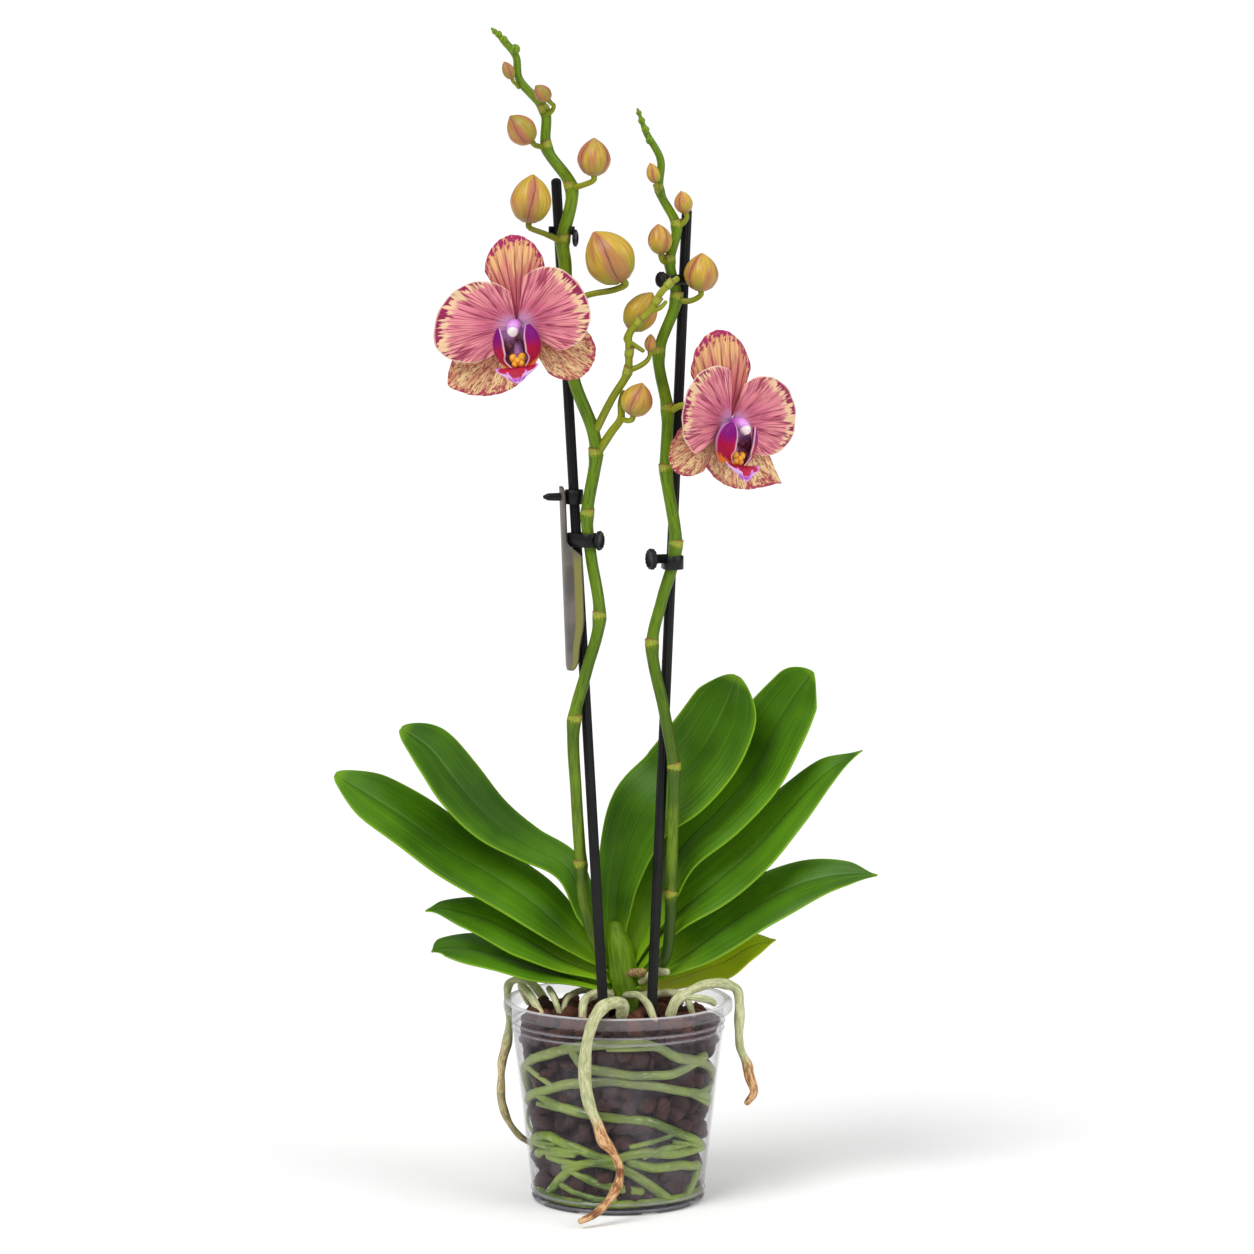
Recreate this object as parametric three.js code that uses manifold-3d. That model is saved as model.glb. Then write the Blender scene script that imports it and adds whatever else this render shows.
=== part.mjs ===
// A potted moth orchid: two flower spikes on stakes, nine leaves, air roots and a clear pot of bark.
// Millimetres. +X is right, +Y is back, +Z is up. The origin is the middle of the pot's underside.
import * as THREE from "three";
import Module from "manifold-3d";
import { mergeVertices } from "three/addons/utils/BufferGeometryUtils.js";

const wasm = await Module();
wasm.setup();

// ---------------------------------------------------------------- driving dimensions

const CLEARANCE = 0.35; // between pieces that touch on the real plant
const DEG = Math.PI / 180;

const POT_HEIGHT = 105;
const POT_FOOT_RADIUS = 44.5;
const POT_TOP_RADIUS = 56;
const POT_LIP_RADIUS = 60;
const POT_LIP_HEIGHT = 7;
const POT_WALL = 0.8;
const POT_FLOOR = 1;
const POT_FACETS = 32;
const POT_RIBS = [90.5, 94]; // heights of the two fine ribs under the lip
const POT_FOOT_RINGS = [1.8, 5.4]; // heights of the stacking rings near the floor
const DRAIN_SLOTS = 8;
const SLOT_SIZE = [4.5, 9, 4.4]; // out from the middle, along the foot, and up

const BARK_TOP = 97;
const BARK_RIM_GAP = 7.5; // room for the roots between the bark and the wall
const BARK_CHUNKS = 26;
const WALL_ROOT_RADIUS = 2.5;

const STAKE_RADIUS = 2.7;
const STAKE_FOOT = 42; // how deep the stakes stand, measured from the pot's underside
const CUFF_RISE = 0.75; // how far a bract stands out from the stem at a joint
const CUFF_REACH = 0.09; // how far it reaches along the stem, as a share of the way to the next point
const LEAF_THICKNESS = 1.8;
const LEAF_TIP_SHARE = 0.16; // the last share of a leaf, over which its tip rounds off
const PETAL_THICKNESS = 0.9;

// ---------------------------------------------------------------- solids

const vec = ([x, y, z]) => new THREE.Vector3(x, y, z);
const { lerp, smoothstep, clamp } = THREE.MathUtils;

// A solid from a list of points and a list of triangles that face out.
function solidFromLists(points, triangles) {
  return new wasm.Manifold(new wasm.Mesh({
    numProp: 3,
    vertProperties: new Float32Array(points.flatMap((p) => [p.x, p.y, p.z])),
    triVerts: new Uint32Array(triangles.flat()),
  }));
}

// A solid from a three.js geometry: shared corners merged, faces without area dropped.
function solidFromGeometry(geometry) {
  const bare = geometry.clone();
  bare.deleteAttribute("normal");
  bare.deleteAttribute("uv");
  const merged = mergeVertices(bare, 1e-4);
  const index = merged.index.array;
  const triangles = [];
  for (let i = 0; i < index.length; i += 3) {
    const [a, b, c] = index.slice(i, i + 3);
    if (a !== b && b !== c && c !== a) triangles.push([a, b, c]);
  }
  const points = [];
  for (let i = 0; i < merged.attributes.position.count; i++) {
    points.push(new THREE.Vector3().fromBufferAttribute(merged.attributes.position, i));
  }
  return solidFromLists(points, triangles);
}

function geometryOf(solid) {
  const mesh = solid.getMesh();
  const geometry = new THREE.BufferGeometry();
  geometry.setAttribute("position", new THREE.BufferAttribute(mesh.vertProperties, 3));
  geometry.setIndex(new THREE.BufferAttribute(mesh.triVerts, 1));
  geometry.computeVertexNormals();
  return geometry;
}

const fuse = (solids) => solids.reduce((whole, next) => whole.add(next));
const carve = (solid, tools) => tools.reduce((left, tool) => left.subtract(tool), solid);

// A skin over rings of points, closed by a fan at each end. Rings run anticlockwise about the way up.
function loft(rings) {
  const sides = rings[0].length;
  const points = rings.flat();
  const triangles = [];
  for (let i = 0; i < rings.length - 1; i++) {
    for (let j = 0; j < sides; j++) {
      const [a, b] = [i * sides + j, i * sides + ((j + 1) % sides)];
      triangles.push([a, b, b + sides], [a, b + sides, a + sides]);
    }
  }
  const middle = (ring) => ring.reduce((sum, p) => sum.add(p), new THREE.Vector3()).divideScalar(sides);
  const top = (rings.length - 1) * sides;
  points.push(middle(rings[0]), middle(rings.at(-1)));
  for (let j = 0; j < sides; j++) {
    const next = (j + 1) % sides;
    triangles.push([points.length - 2, next, j], [points.length - 1, top + j, top + next]);
  }
  return solidFromLists(points, triangles);
}

// A round stalk through a chain of [x, y, z, radius] points, tapering from each point to the next.
// At a joint, given by its place in the chain, a dry bract clasps it as a raised cuff.
function stalk(chain, { sides = 6, steps = 2, grow = 0, joints = [] } = {}) {
  const curve = new THREE.CatmullRomCurve3(chain.map(vec));
  const last = chain.length - 1;
  const plain = Array.from({ length: last * steps + 1 }, (_, i) => i / steps);
  const cuffs = joints.flatMap((k) => [k - CUFF_REACH, k + CUFF_REACH]);
  const stations = [...plain, ...cuffs].sort((a, b) => a - b);
  let side = null;
  const rings = stations.map((station, i) => {
    const before = Math.min(Math.floor(station), last - 1);
    const tangent = curve.getTangent(station / last);
    side ??= new THREE.Vector3(Math.abs(tangent.x) < 0.8 ? 1 : 0, 0, Math.abs(tangent.x) < 0.8 ? 0 : 1);
    side = side.clone().projectOnPlane(tangent).normalize();
    const taper = lerp(chain[before][3], chain[before + 1][3], station - before);
    const radius = taper + grow + (joints.includes(station) ? CUFF_RISE : 0);
    const centre = curve.getPoint(station / last);
    if (i === 0) centre.addScaledVector(tangent, -grow);
    if (i === stations.length - 1) centre.addScaledVector(tangent, grow);
    return ring(centre, side, tangent.clone().cross(side), radius, sides);
  });
  return loft(rings);
}

function ring(centre, side, across, radius, sides) {
  return Array.from({ length: sides }, (_, j) => {
    const turn = (2 * Math.PI * j) / sides;
    return centre.clone()
      .addScaledVector(side, radius * Math.cos(turn))
      .addScaledVector(across, radius * Math.sin(turn));
  });
}

// A straight rod from one point to another, as a circle extruded along its line.
function rod(from, to, radius, sides = 8) {
  const path = new THREE.LineCurve3(vec(from), vec(to));
  const circle = Array.from({ length: sides }, (_, j) => new THREE.Vector2(
    radius * Math.cos((2 * Math.PI * j) / sides),
    radius * Math.sin((2 * Math.PI * j) / sides),
  ));
  const shape = new THREE.Shape(circle);
  return solidFromGeometry(new THREE.ExtrudeGeometry(shape, { steps: 1, extrudePath: path }));
}

// A thin sheet through a grid of points, as thick as thickness(row, column), closed round its rim.
// Both faces are split into triangles alike, so they never cross.
function sheet(rows, thickness) {
  const [m, n] = [rows.length, rows[0].length];
  const at = (i, j) => rows[clamp(i, 0, m - 1)][clamp(j, 0, n - 1)];
  const faces = [[], []];
  for (let i = 0; i < m; i++) {
    for (let j = 0; j < n; j++) {
      const down = at(i + 1, j).clone().sub(at(i - 1, j));
      const across = at(i, j + 1).clone().sub(at(i, j - 1));
      const half = down.cross(across).normalize().multiplyScalar(thickness(i, j) / 2);
      faces[0].push(at(i, j).clone().add(half));
      faces[1].push(at(i, j).clone().sub(half));
    }
  }
  const lower = m * n;
  const triangles = [];
  for (let i = 0; i < m - 1; i++) {
    for (let j = 0; j < n - 1; j++) {
      const [a, b, c, d] = [i * n + j, (i + 1) * n + j, (i + 1) * n + j + 1, i * n + j + 1];
      triangles.push([a, b, c], [a, c, d]);
      triangles.push([c + lower, b + lower, a + lower], [d + lower, c + lower, a + lower]);
    }
  }
  const rim = [];
  for (let i = 0; i < m - 1; i++) rim.push(i * n);
  for (let j = 0; j < n - 1; j++) rim.push((m - 1) * n + j);
  for (let i = m - 1; i > 0; i--) rim.push(i * n + n - 1);
  for (let j = n - 1; j > 0; j--) rim.push(j);
  rim.forEach((p, k) => {
    const q = rim[(k + 1) % rim.length];
    triangles.push([p + lower, q + lower, q], [p + lower, q, p]);
  });
  return solidFromLists(faces.flat(), triangles);
}

// The same draws every time: a small generator with a fixed seed.
function seededDraws(seed) {
  let state = seed;
  return (low, high) => {
    state = (state * 1664525 + 1013904223) % 4294967296;
    return low + (high - low) * (state / 4294967296);
  };
}

// ---------------------------------------------------------------- pot

const wallRadius = (z) => lerp(POT_FOOT_RADIUS, POT_TOP_RADIUS, z / (POT_HEIGHT - POT_LIP_HEIGHT));

function pot() {
  const outer = [[0, 0], [POT_FOOT_RADIUS - 0.8, 0]];
  for (const z of POT_FOOT_RINGS) {
    outer.push([wallRadius(z), z - 0.8], [wallRadius(z) + 0.7, z], [wallRadius(z), z + 0.8]);
  }
  for (const z of POT_RIBS) {
    outer.push([wallRadius(z), z - 0.7], [wallRadius(z) + 0.6, z], [wallRadius(z), z + 0.7]);
  }
  const lipFoot = POT_HEIGHT - POT_LIP_HEIGHT;
  outer.push(
    [POT_TOP_RADIUS + 0.2, lipFoot],
    [POT_LIP_RADIUS - 1.2, lipFoot + 1],
    [POT_LIP_RADIUS, lipFoot + 2.6],
    [POT_LIP_RADIUS, POT_HEIGHT - 1.6],
    [POT_LIP_RADIUS - 1.3, POT_HEIGHT],
    [POT_TOP_RADIUS, POT_HEIGHT - 0.2],
    [POT_TOP_RADIUS - POT_WALL, POT_HEIGHT - 1.4],
    [wallRadius(lipFoot) - POT_WALL, lipFoot],
    [wallRadius(POT_FLOOR) - POT_WALL, POT_FLOOR],
    [0, POT_FLOOR],
  );
  const profile = outer.map(([r, z]) => new THREE.Vector2(r, z));
  const turned = new THREE.LatheGeometry(profile, POT_FACETS).rotateX(Math.PI / 2);
  const slots = Array.from({ length: DRAIN_SLOTS }, (_, k) => {
    const slot = new THREE.BoxGeometry(...SLOT_SIZE);
    slot.translate(POT_FOOT_RADIUS - 2.6, 0, 0.6);
    return solidFromGeometry(slot.rotateZ(((k + 0.5) * 2 * Math.PI) / DRAIN_SLOTS));
  });
  return carve(solidFromGeometry(turned), slots);
}

// ---------------------------------------------------------------- stakes

// Each stake runs straight from the bark to its top.
const STAKES = {
  left: { low: [-7.7, -24, 107], top: [-31.8, 4, 531.4] },
  right: { low: [17.6, -20, 105.2], top: [35.6, 4, 516.1] },
};

function stakeAt({ low, top }, z) {
  const share = (z - low[2]) / (top[2] - low[2]);
  return [lerp(low[0], top[0], share), lerp(low[1], top[1], share), z];
}

const stake = (line, grow = 0) => rod(stakeAt(line, STAKE_FOOT - grow), line.top, STAKE_RADIUS + grow);

// ---------------------------------------------------------------- buds

// Each bud: where it sits on its stalk, where its tip points, and its width.
const BUDS = {
  left_1: { base: [-12.1, -14, 532.3], tip: [-12.1, -14, 551.5], width: 16.8 },
  left_2: { base: [-45.3, -16, 508.5], tip: [-43.2, -16, 533], width: 20.6 },
  left_3: { base: [3, -17, 479], tip: [-12.3, -17, 503.9], width: 25 },
  left_4: { base: [-43.7, -12, 549.6], tip: [-54.9, -12, 562.7], width: 14.6 },
  left_5: { base: [-35.1, -12.5, 570.5], tip: [-41.8, -13, 578.1], width: 8.4 },
  left_6: { base: [-53.9, -9.5, 581.6], tip: [-58, -10, 590.2], width: 6.2 },
  branch_1: { base: [6.4, -10, 454], tip: [17.6, -10, 473], width: 16.8 },
  branch_2: { base: [16.4, -19, 442.9], tip: [16.9, -19, 452.1], width: 6 },
  branch_3: { base: [7.8, -22, 410.4], tip: [12.4, -22, 427.2], width: 16.2 },
  right_1: { base: [42.6, -9.6, 473.7], tip: [43.1, -9.6, 493.1], width: 17.6 },
  right_2: { base: [22.1, -9.5, 492.6], tip: [20.6, -9.5, 507.9], width: 12.4 },
  right_3: { base: [34.9, -6, 513.5], tip: [32.3, -6, 524.7], width: 9.4 },
  right_4: { base: [19.6, -7, 528.8], tip: [16.5, -7, 539], width: 6.8 },
};

// How wide a bud is on its way from base to tip, as a share of its full width.
const BUD_PROFILE = [[0, 0.3], [0.1, 0.68], [0.37, 1], [0.62, 0.92], [0.84, 0.58], [1, 0.07]];

function bud({ base, tip, width }) {
  const [low, high] = [vec(base), vec(tip)];
  const chain = BUD_PROFILE.map(([t, share]) => [...low.clone().lerp(high, t), (share * width) / 2]);
  return stalk(chain, { sides: width < 10 ? 6 : 9, steps: 1 });
}

// The flower stalk of a bud: a chain that ends square to the bud, just short of it.
function budStalk(chain, { base, tip }, radius = 1.4) {
  const back = vec(base).sub(vec(tip)).normalize();
  const end = vec(base).addScaledVector(back, CLEARANCE);
  const before = vec(base).addScaledVector(back, 2);
  return stalk([...chain, [...before, radius], [...end, radius * 1.1]], { sides: 5, steps: 1 });
}

// ---------------------------------------------------------------- blooms

// Where each flower hangs, and how far it is turned to the right, nodded down and rolled, in degrees.
// Its petals and sepals each point their own way, as real ones do, and its lip hangs a little askew.
const BLOOMS = {
  left: {
    centre: [-51, -34, 457], turn: -10, nod: 6, roll: 4, sway: 4,
    petals: [
      { angle: 162, spread: 67, drop: 0.6, power: 1.6, skew: 0.4 },
      { angle: 21, spread: 55, length: 39.5, drop: 0.38, power: 2.6 },
    ],
    sepals: [
      { angle: 88, length: 45.5 },
      { angle: 231, spread: 37, length: 49, drop: 0.4, power: 1.15, skew: -0.4 },
      { angle: 327, length: 43, drop: 0.32, power: 2.4 },
    ],
  },
  right: {
    centre: [57.5, -26, 407], turn: 38, nod: 6, roll: 4, sway: -13,
    petals: [
      { angle: 153, spread: 55, length: 37, drop: 0.25, power: 2.6, lift: 14, skew: -0.2 },
      { angle: 10.5, spread: 62, length: 41, drop: 0.5, power: 1.8, skew: -0.28 },
    ],
    sepals: [
      { angle: 91, spread: 38, length: 46.5, drop: 0.32, power: 1.7, lift: -7 },
      { angle: 208, length: 40.5 },
      { angle: 285, spread: 47, length: 53, drop: 0.52, power: 0.6, skew: 0.667 },
    ],
  },
};

function bloomMatrix({ centre, turn, nod, roll }) {
  return new THREE.Matrix4().makeRotationZ(turn * DEG)
    .multiply(new THREE.Matrix4().makeRotationX((90 + nod) * DEG))
    .multiply(new THREE.Matrix4().makeRotationZ(roll * DEG))
    .setPosition(...centre);
}

// A petal or sepal in the flower's own frame (x right, y up, z out of the face): rays fan out from
// a narrow claw, and each ray's reach falls off on both sides of the longest one, set by skew.
function fanRows(form, rays, stepsOut) {
  const { angle, spread, length, drop, power, skew = 0, lift, curl, back = 0, wave = 0 } = form;
  const rows = [];
  for (let i = 0; i <= stepsOut; i++) {
    const row = [];
    for (let j = 0; j <= rays; j++) {
      const across = (2 * j) / rays - 1;
      const direction = (angle + across * spread) * DEG;
      const off = Math.abs(across - skew) / (1 + Math.sign(skew - across) * skew);
      const reach = length * (1 - drop * off ** power);
      const r = lerp(CLAW, reach, (i / stepsOut) ** 0.8);
      const share = r / length;
      const depth = back + r * Math.sin(lift * DEG) - curl * share ** 2
        + wave * Math.sin(across * 5) * share ** 3;
      row.push(new THREE.Vector3(r * Math.cos(direction), r * Math.sin(direction), depth));
    }
    rows.push(row);
  }
  return rows;
}

const fanSheet = (form, rays, stepsOut) => sheet(fanRows(form, rays, stepsOut), () => PETAL_THICKNESS);

const CLAW = 2.4; // how far from the flower's middle a petal starts
const PETAL = { spread: 60, length: 43, drop: 0.52, power: 2.3, lift: 12, curl: 5, wave: 0.8 };
const SEPAL = { spread: 30, length: 47, drop: 0.31, power: 1.8, lift: 3, curl: 2.2, back: -3.4 };

const hub = (z0, z1, radius) => stalk(
  [[0, 0, z0, radius * 0.7], [0, 0, (z0 + z1) / 2, radius], [0, 0, z1, radius * 0.7]],
  { steps: 1 },
);

const sepals = ({ sepals: forms }) =>
  fuse([hub(-6, -2.2, 3.4), ...forms.map((form) => fanSheet({ ...SEPAL, ...form }, 6, 4))]);
const petals = ({ petals: forms }) =>
  fuse([hub(-1.7, 1.9, 3.4), ...forms.map((form) => fanSheet({ ...PETAL, ...form }, 8, 4))]);

const COLUMN = [
  [0, 0.6, 2.5, 2.2], [0, 0.7, 5.5, 3.1], [0, 0.4, 8.5, 3.5], [0, -0.6, 11, 3.3], [0, -2, 13, 1.8],
];

const column = () => stalk(COLUMN, { sides: 8, steps: 1 });

const LIP_BOTTOM = -20; // the foot of the lip's side lobes, below the flower's middle
const LIP_RISE = 20.5;
const LIP_MIDDLE = 7.5; // how far in front of the petals the side lobes stand
const LIP_DEPTH = 7.5;
const LIP_HALF_WIDTH = 12.2;
const LIP_FOOT = [[0, -2.8, 2.5, 1.2], [0, -9.5, 4.6, 2], [0, -17, 7.4, 3.2]];
const LIP_FRONT_WIDTHS = [3.2, 5.5, 9, 11, 9, 3.4];
const CALLUS = { size: [4.2, 3.6, 3], at: [0, -16.6, 9.6] };
const HORN = [[1, -26, 19.6, 1], [3.4, -24.4, 19.4, 1], [5, -21.6, 18, 0.6]];

// How far the cup of the lip reaches sideways at a height, 0 at its foot and 1 at its top.
const cupShare = (rise) => Math.sin(Math.PI * (0.17 + 0.62 * rise)) ** 0.75;

// A side lobe: part of an upright cup, open in front between its free edge and the other lobe's.
function sideLobe(hand) {
  const rows = [];
  for (let i = 0; i <= 5; i++) {
    const rise = i / 5;
    const share = cupShare(rise);
    const round = Math.sqrt(Math.max(1 - (Math.max(rise - 0.6, 0) / 0.42) ** 2, 0));
    const free = 26 + 10 * Math.sin(Math.PI * clamp(rise / 0.35, 0, 1));
    rows.push(Array.from({ length: 5 }, (_, j) => {
      const turn = (68 + (lerp(free, 110, j / 4) - 68) * round) * DEG;
      return new THREE.Vector3(
        hand * LIP_HALF_WIDTH * share * Math.sin(turn),
        LIP_BOTTOM + LIP_RISE * rise,
        LIP_MIDDLE + LIP_DEPTH * Math.sqrt(share) * Math.cos(turn),
      );
    }));
  }
  return sheet(rows, () => PETAL_THICKNESS);
}

// The back of the cup, between the side lobes' rear edges.
function lipBack() {
  const rows = Array.from({ length: 3 }, (_, i) => {
    const rise = (0.72 * i) / 2;
    return Array.from({ length: 3 }, (_, j) => {
      const across = j - 1;
      const half = LIP_HALF_WIDTH * cupShare(rise) * 0.93;
      const depth = 3 + 3.4 * (1 - rise) ** 2 + 1.6 * across ** 2;
      return new THREE.Vector3(half * across, LIP_BOTTOM + LIP_RISE * rise, depth);
    });
  });
  return sheet(rows, () => PETAL_THICKNESS);
}

// The front lobe: narrow where it leaves the cup, with raised corners and two small horns.
function frontLobe() {
  const last = LIP_FRONT_WIDTHS.length - 1;
  const rows = LIP_FRONT_WIDTHS.map((half, i) => {
    const t = i / last;
    return Array.from({ length: 5 }, (_, j) => {
      const across = j / 2 - 1;
      const raised = 4.2 * across ** 2 * smoothstep(t, 0.15, 0.6);
      return new THREE.Vector3(half * across, -18.5 - 8.5 * t + raised, 8.5 + 12 * t);
    });
  });
  const horn = (hand) => stalk(HORN.map(([x, y, z, r]) => [hand * x, y, z, r]), { sides: 5, steps: 1 });
  return fuse([sheet(rows, () => PETAL_THICKNESS), horn(1), horn(-1)]);
}

// The lip: a cup of two side lobes, a front lobe, and the callus between them.
function lip() {
  const callus = solidFromGeometry(
    new THREE.SphereGeometry(1, 6, 4).scale(...CALLUS.size).translate(...CALLUS.at),
  );
  const foot = stalk(LIP_FOOT, { steps: 1 });
  return fuse([foot, callus, sideLobe(1), sideLobe(-1), lipBack(), frontLobe()]);
}

// ---------------------------------------------------------------- flower spikes

const SPIKE_LEFT = [
  [-8, -5.5, 126, 2.4], [-13, -8, 138, 2.9], [-17.8, -11.5, 159, 3], [-19.1, -13, 177, 3.1],
  [-21.5, -17, 215, 3], [-22.6, -19, 253.2, 3.2], [-15.9, -20.5, 279.8, 3], [-9.4, -20, 306.1, 3.1],
  [-13.8, -13.5, 338, 3], [-15.8, -13, 358.6, 3.1], [-11.2, -13, 389.9, 3.3], [-12.7, -13, 402.2, 3.3],
  [-22.5, -11, 428.3, 3.2], [-26.5, -9, 453.9, 3.3], [-27, -6.5, 487, 3.4], [-28.3, -5.6, 498.8, 3.4],
  [-23.7, -5, 526.2, 3.1], [-36.4, -5, 546.6, 2.7], [-37.3, -5, 565.4, 2.5], [-50.4, -5, 581.6, 2.1],
  [-52, -5, 593, 1.9], [-57.6, -5, 600.4, 1.9], [-64.2, -5, 607.5, 0.7],
];
const SPIKE_LEFT_JOINTS = [3, 5, 7, 9, 10, 15, 16, 17, 18];

const SPIKE_RIGHT = [
  [18.6, -7, 120, 2.4], [24.6, -9.5, 128, 2.8], [27, -10, 145, 3], [27.5, -11, 160.7, 3.1],
  [28.3, -15, 195, 3], [28.9, -17.5, 228, 3.1], [23.8, -19, 258.7, 3], [17.6, -16, 291.7, 3.1],
  [22.7, -14, 315.3, 3], [29.7, -13.4, 342.5, 3.2], [24.8, -9, 381.5, 3.1], [25.5, -8, 412.3, 3.1],
  [21, -6, 441.4, 2.9], [29.9, -4.5, 469.6, 2.9], [26.6, -4.5, 488.5, 2.6], [30.1, -3, 506.4, 2.5],
  [21.5, 0, 524.8, 2.1], [21.9, 1, 540.6, 2], [14.4, 2, 554.9, 1.7], [10.1, 3, 566.6, 0.6],
];
const SPIKE_RIGHT_JOINTS = [3, 5, 7, 9, 10, 11, 12, 13, 14, 15, 16];

// The side branch that carries three buds, with its hooked twigs.
const BRANCH = [
  [-12.2, -13, 400.7, 2.2], [-3, -18, 418.9, 2], [4.9, -22, 432.3, 2.1], [5.7, -24, 441.7, 1.9],
  [5.9, -25, 451.7, 1.8], [9.8, -26, 457.3, 1.8], [15.4, -26, 462.9, 1.8], [19.2, -26, 468.2, 1.8],
  [21.5, -26, 472.5, 1.8], [25.2, -25, 476.6, 1.7], [30.2, -24, 480.3, 1.5],
];
const BRANCH_HOOK = [[17.4, -26, 463.9, 1.3], [21.5, -26, 465.4, 1.2], [24.5, -26, 468.5, 1]];
const BRANCH_STUB = [[6.8, -25, 447.5, 1.4], [12.9, -24, 443.6, 1.1]];
const LOWER_TWIG = [
  [-11.2, -13, 389.9, 2.4], [-3.5, -15, 401.5, 2.2], [1.5, -16, 408.8, 2], [1.6, -15, 416.7, 1.7],
  [2.7, -14, 422.3, 1.3],
];

const LONG_BUD_STALK = [[-26.8, -8, 467.7, 1.7], [-13.2, -14, 472.3, 1.6], [-1.7, -16.5, 474.5, 1.6]];
const HOOKED_BUD_STALK = [[5.5, -22.5, 433.5, 1.5], [11.3, -22.5, 435.9, 1.4], [15, -20.5, 438.6, 1.3]];

const worldPoint = (bloom, local) => [...vec(local).applyMatrix4(bloomMatrix(bloom))];
const bloomStalk = (chain, bloom) => stalk(
  [...chain, [...worldPoint(bloom, [0, 0, -9]), 1.7], [...worldPoint(bloom, [0, 0, -6.4]), 1.9]],
  { steps: 1 },
);

// Unopened bracts and beads at the growing tip of a spike.
const bead = (at, radius) => solidFromGeometry(new THREE.SphereGeometry(radius, 6, 4).translate(...at));

function spikeLeft(grow = 0) {
  const main = stalk(SPIKE_LEFT, { grow, joints: SPIKE_LEFT_JOINTS });
  if (grow) return main;
  return fuse([
    main,
    stalk(BRANCH, { steps: 1 }),
    stalk(BRANCH_HOOK, { sides: 5, steps: 1 }),
    stalk(BRANCH_STUB, { sides: 5, steps: 1 }),
    stalk(LOWER_TWIG, { steps: 1 }),
    budStalk([[-23.7, -5, 526.2, 1.7], [-18, -10, 527.6, 1.5]], BUDS.left_1),
    budStalk([[-28.3, -5.6, 498.8, 1.7], [-37.2, -12, 502.9, 1.5]], BUDS.left_2),
    budStalk(LONG_BUD_STALK, BUDS.left_3, 1.7),
    budStalk([[-36.4, -5, 546.6, 1.5], [-40.5, -9.5, 547.4, 1.4]], BUDS.left_4),
    budStalk([[-37, -6, 563, 1.4], [-33.5, -9, 565.5, 1.2], [-32.6, -11, 568, 1.1]], BUDS.left_5, 1.1),
    budStalk([[-50.6, -5, 577.5, 1.2], [-52, -8, 579, 1]], BUDS.left_6, 0.9),
    budStalk([[5.8, -24.5, 447, 1.5], [4.2, -17, 449.5, 1.4]], BUDS.branch_1),
    budStalk(HOOKED_BUD_STALK, BUDS.branch_2, 1.1),
    budStalk([[1.5, -16, 408.8, 1.5], [5, -20, 407.8, 1.4]], BUDS.branch_3),
    bloomStalk([[-26.4, -9, 451, 1.8], [-36, -17, 457, 1.7]], BLOOMS.left),
    bead([-52.4, -6.6, 596.6], 2.7),
    bead([-58.2, -6, 601.4], 1.9),
  ]);
}

function spikeRight(grow = 0) {
  const main = stalk(SPIKE_RIGHT, { grow, joints: SPIKE_RIGHT_JOINTS });
  if (grow) return main;
  return fuse([
    main,
    budStalk([[29.9, -4.5, 469.1, 1.7], [37, -6.5, 468.6, 1.5]], BUDS.right_1),
    budStalk([[26.8, -4.5, 487.5, 1.5], [23.6, -7.5, 488.6, 1.4]], BUDS.right_2),
    budStalk([[30.4, -3, 506.2, 1.4], [33.8, -4.8, 508.6, 1.3]], BUDS.right_3),
    budStalk([[21.5, 0, 523.8, 1.3], [20.6, -4.5, 525, 1.1]], BUDS.right_4, 0.9),
    bloomStalk([[25.5, -8, 411.3, 1.8], [34, -13, 415.5, 1.7]], BLOOMS.right),
    bead([14.2, 0.6, 556], 1.7),
    bead([11.6, 2, 562.4], 1.5),
  ]);
}

// ---------------------------------------------------------------- crown and leaves

const CROWN = [
  [4.4, 0, 88, 5.5], [4.4, -1, 106, 6.6], [2.6, -1, 120, 7.6], [0.6, 0, 132, 7.2], [-1.4, 2, 142, 4.6],
];
const OLD_SPIKE_STUB = [[4, -6, 119.6, 2.2], [13, -9.5, 120.4, 2.4]];

const crown = (grow = 0) => fuse([
  stalk(CROWN, { grow, sides: 10, steps: 1 }),
  stalk(OLD_SPIKE_STUB, { grow, sides: 7, steps: 1 }),
]);

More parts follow.
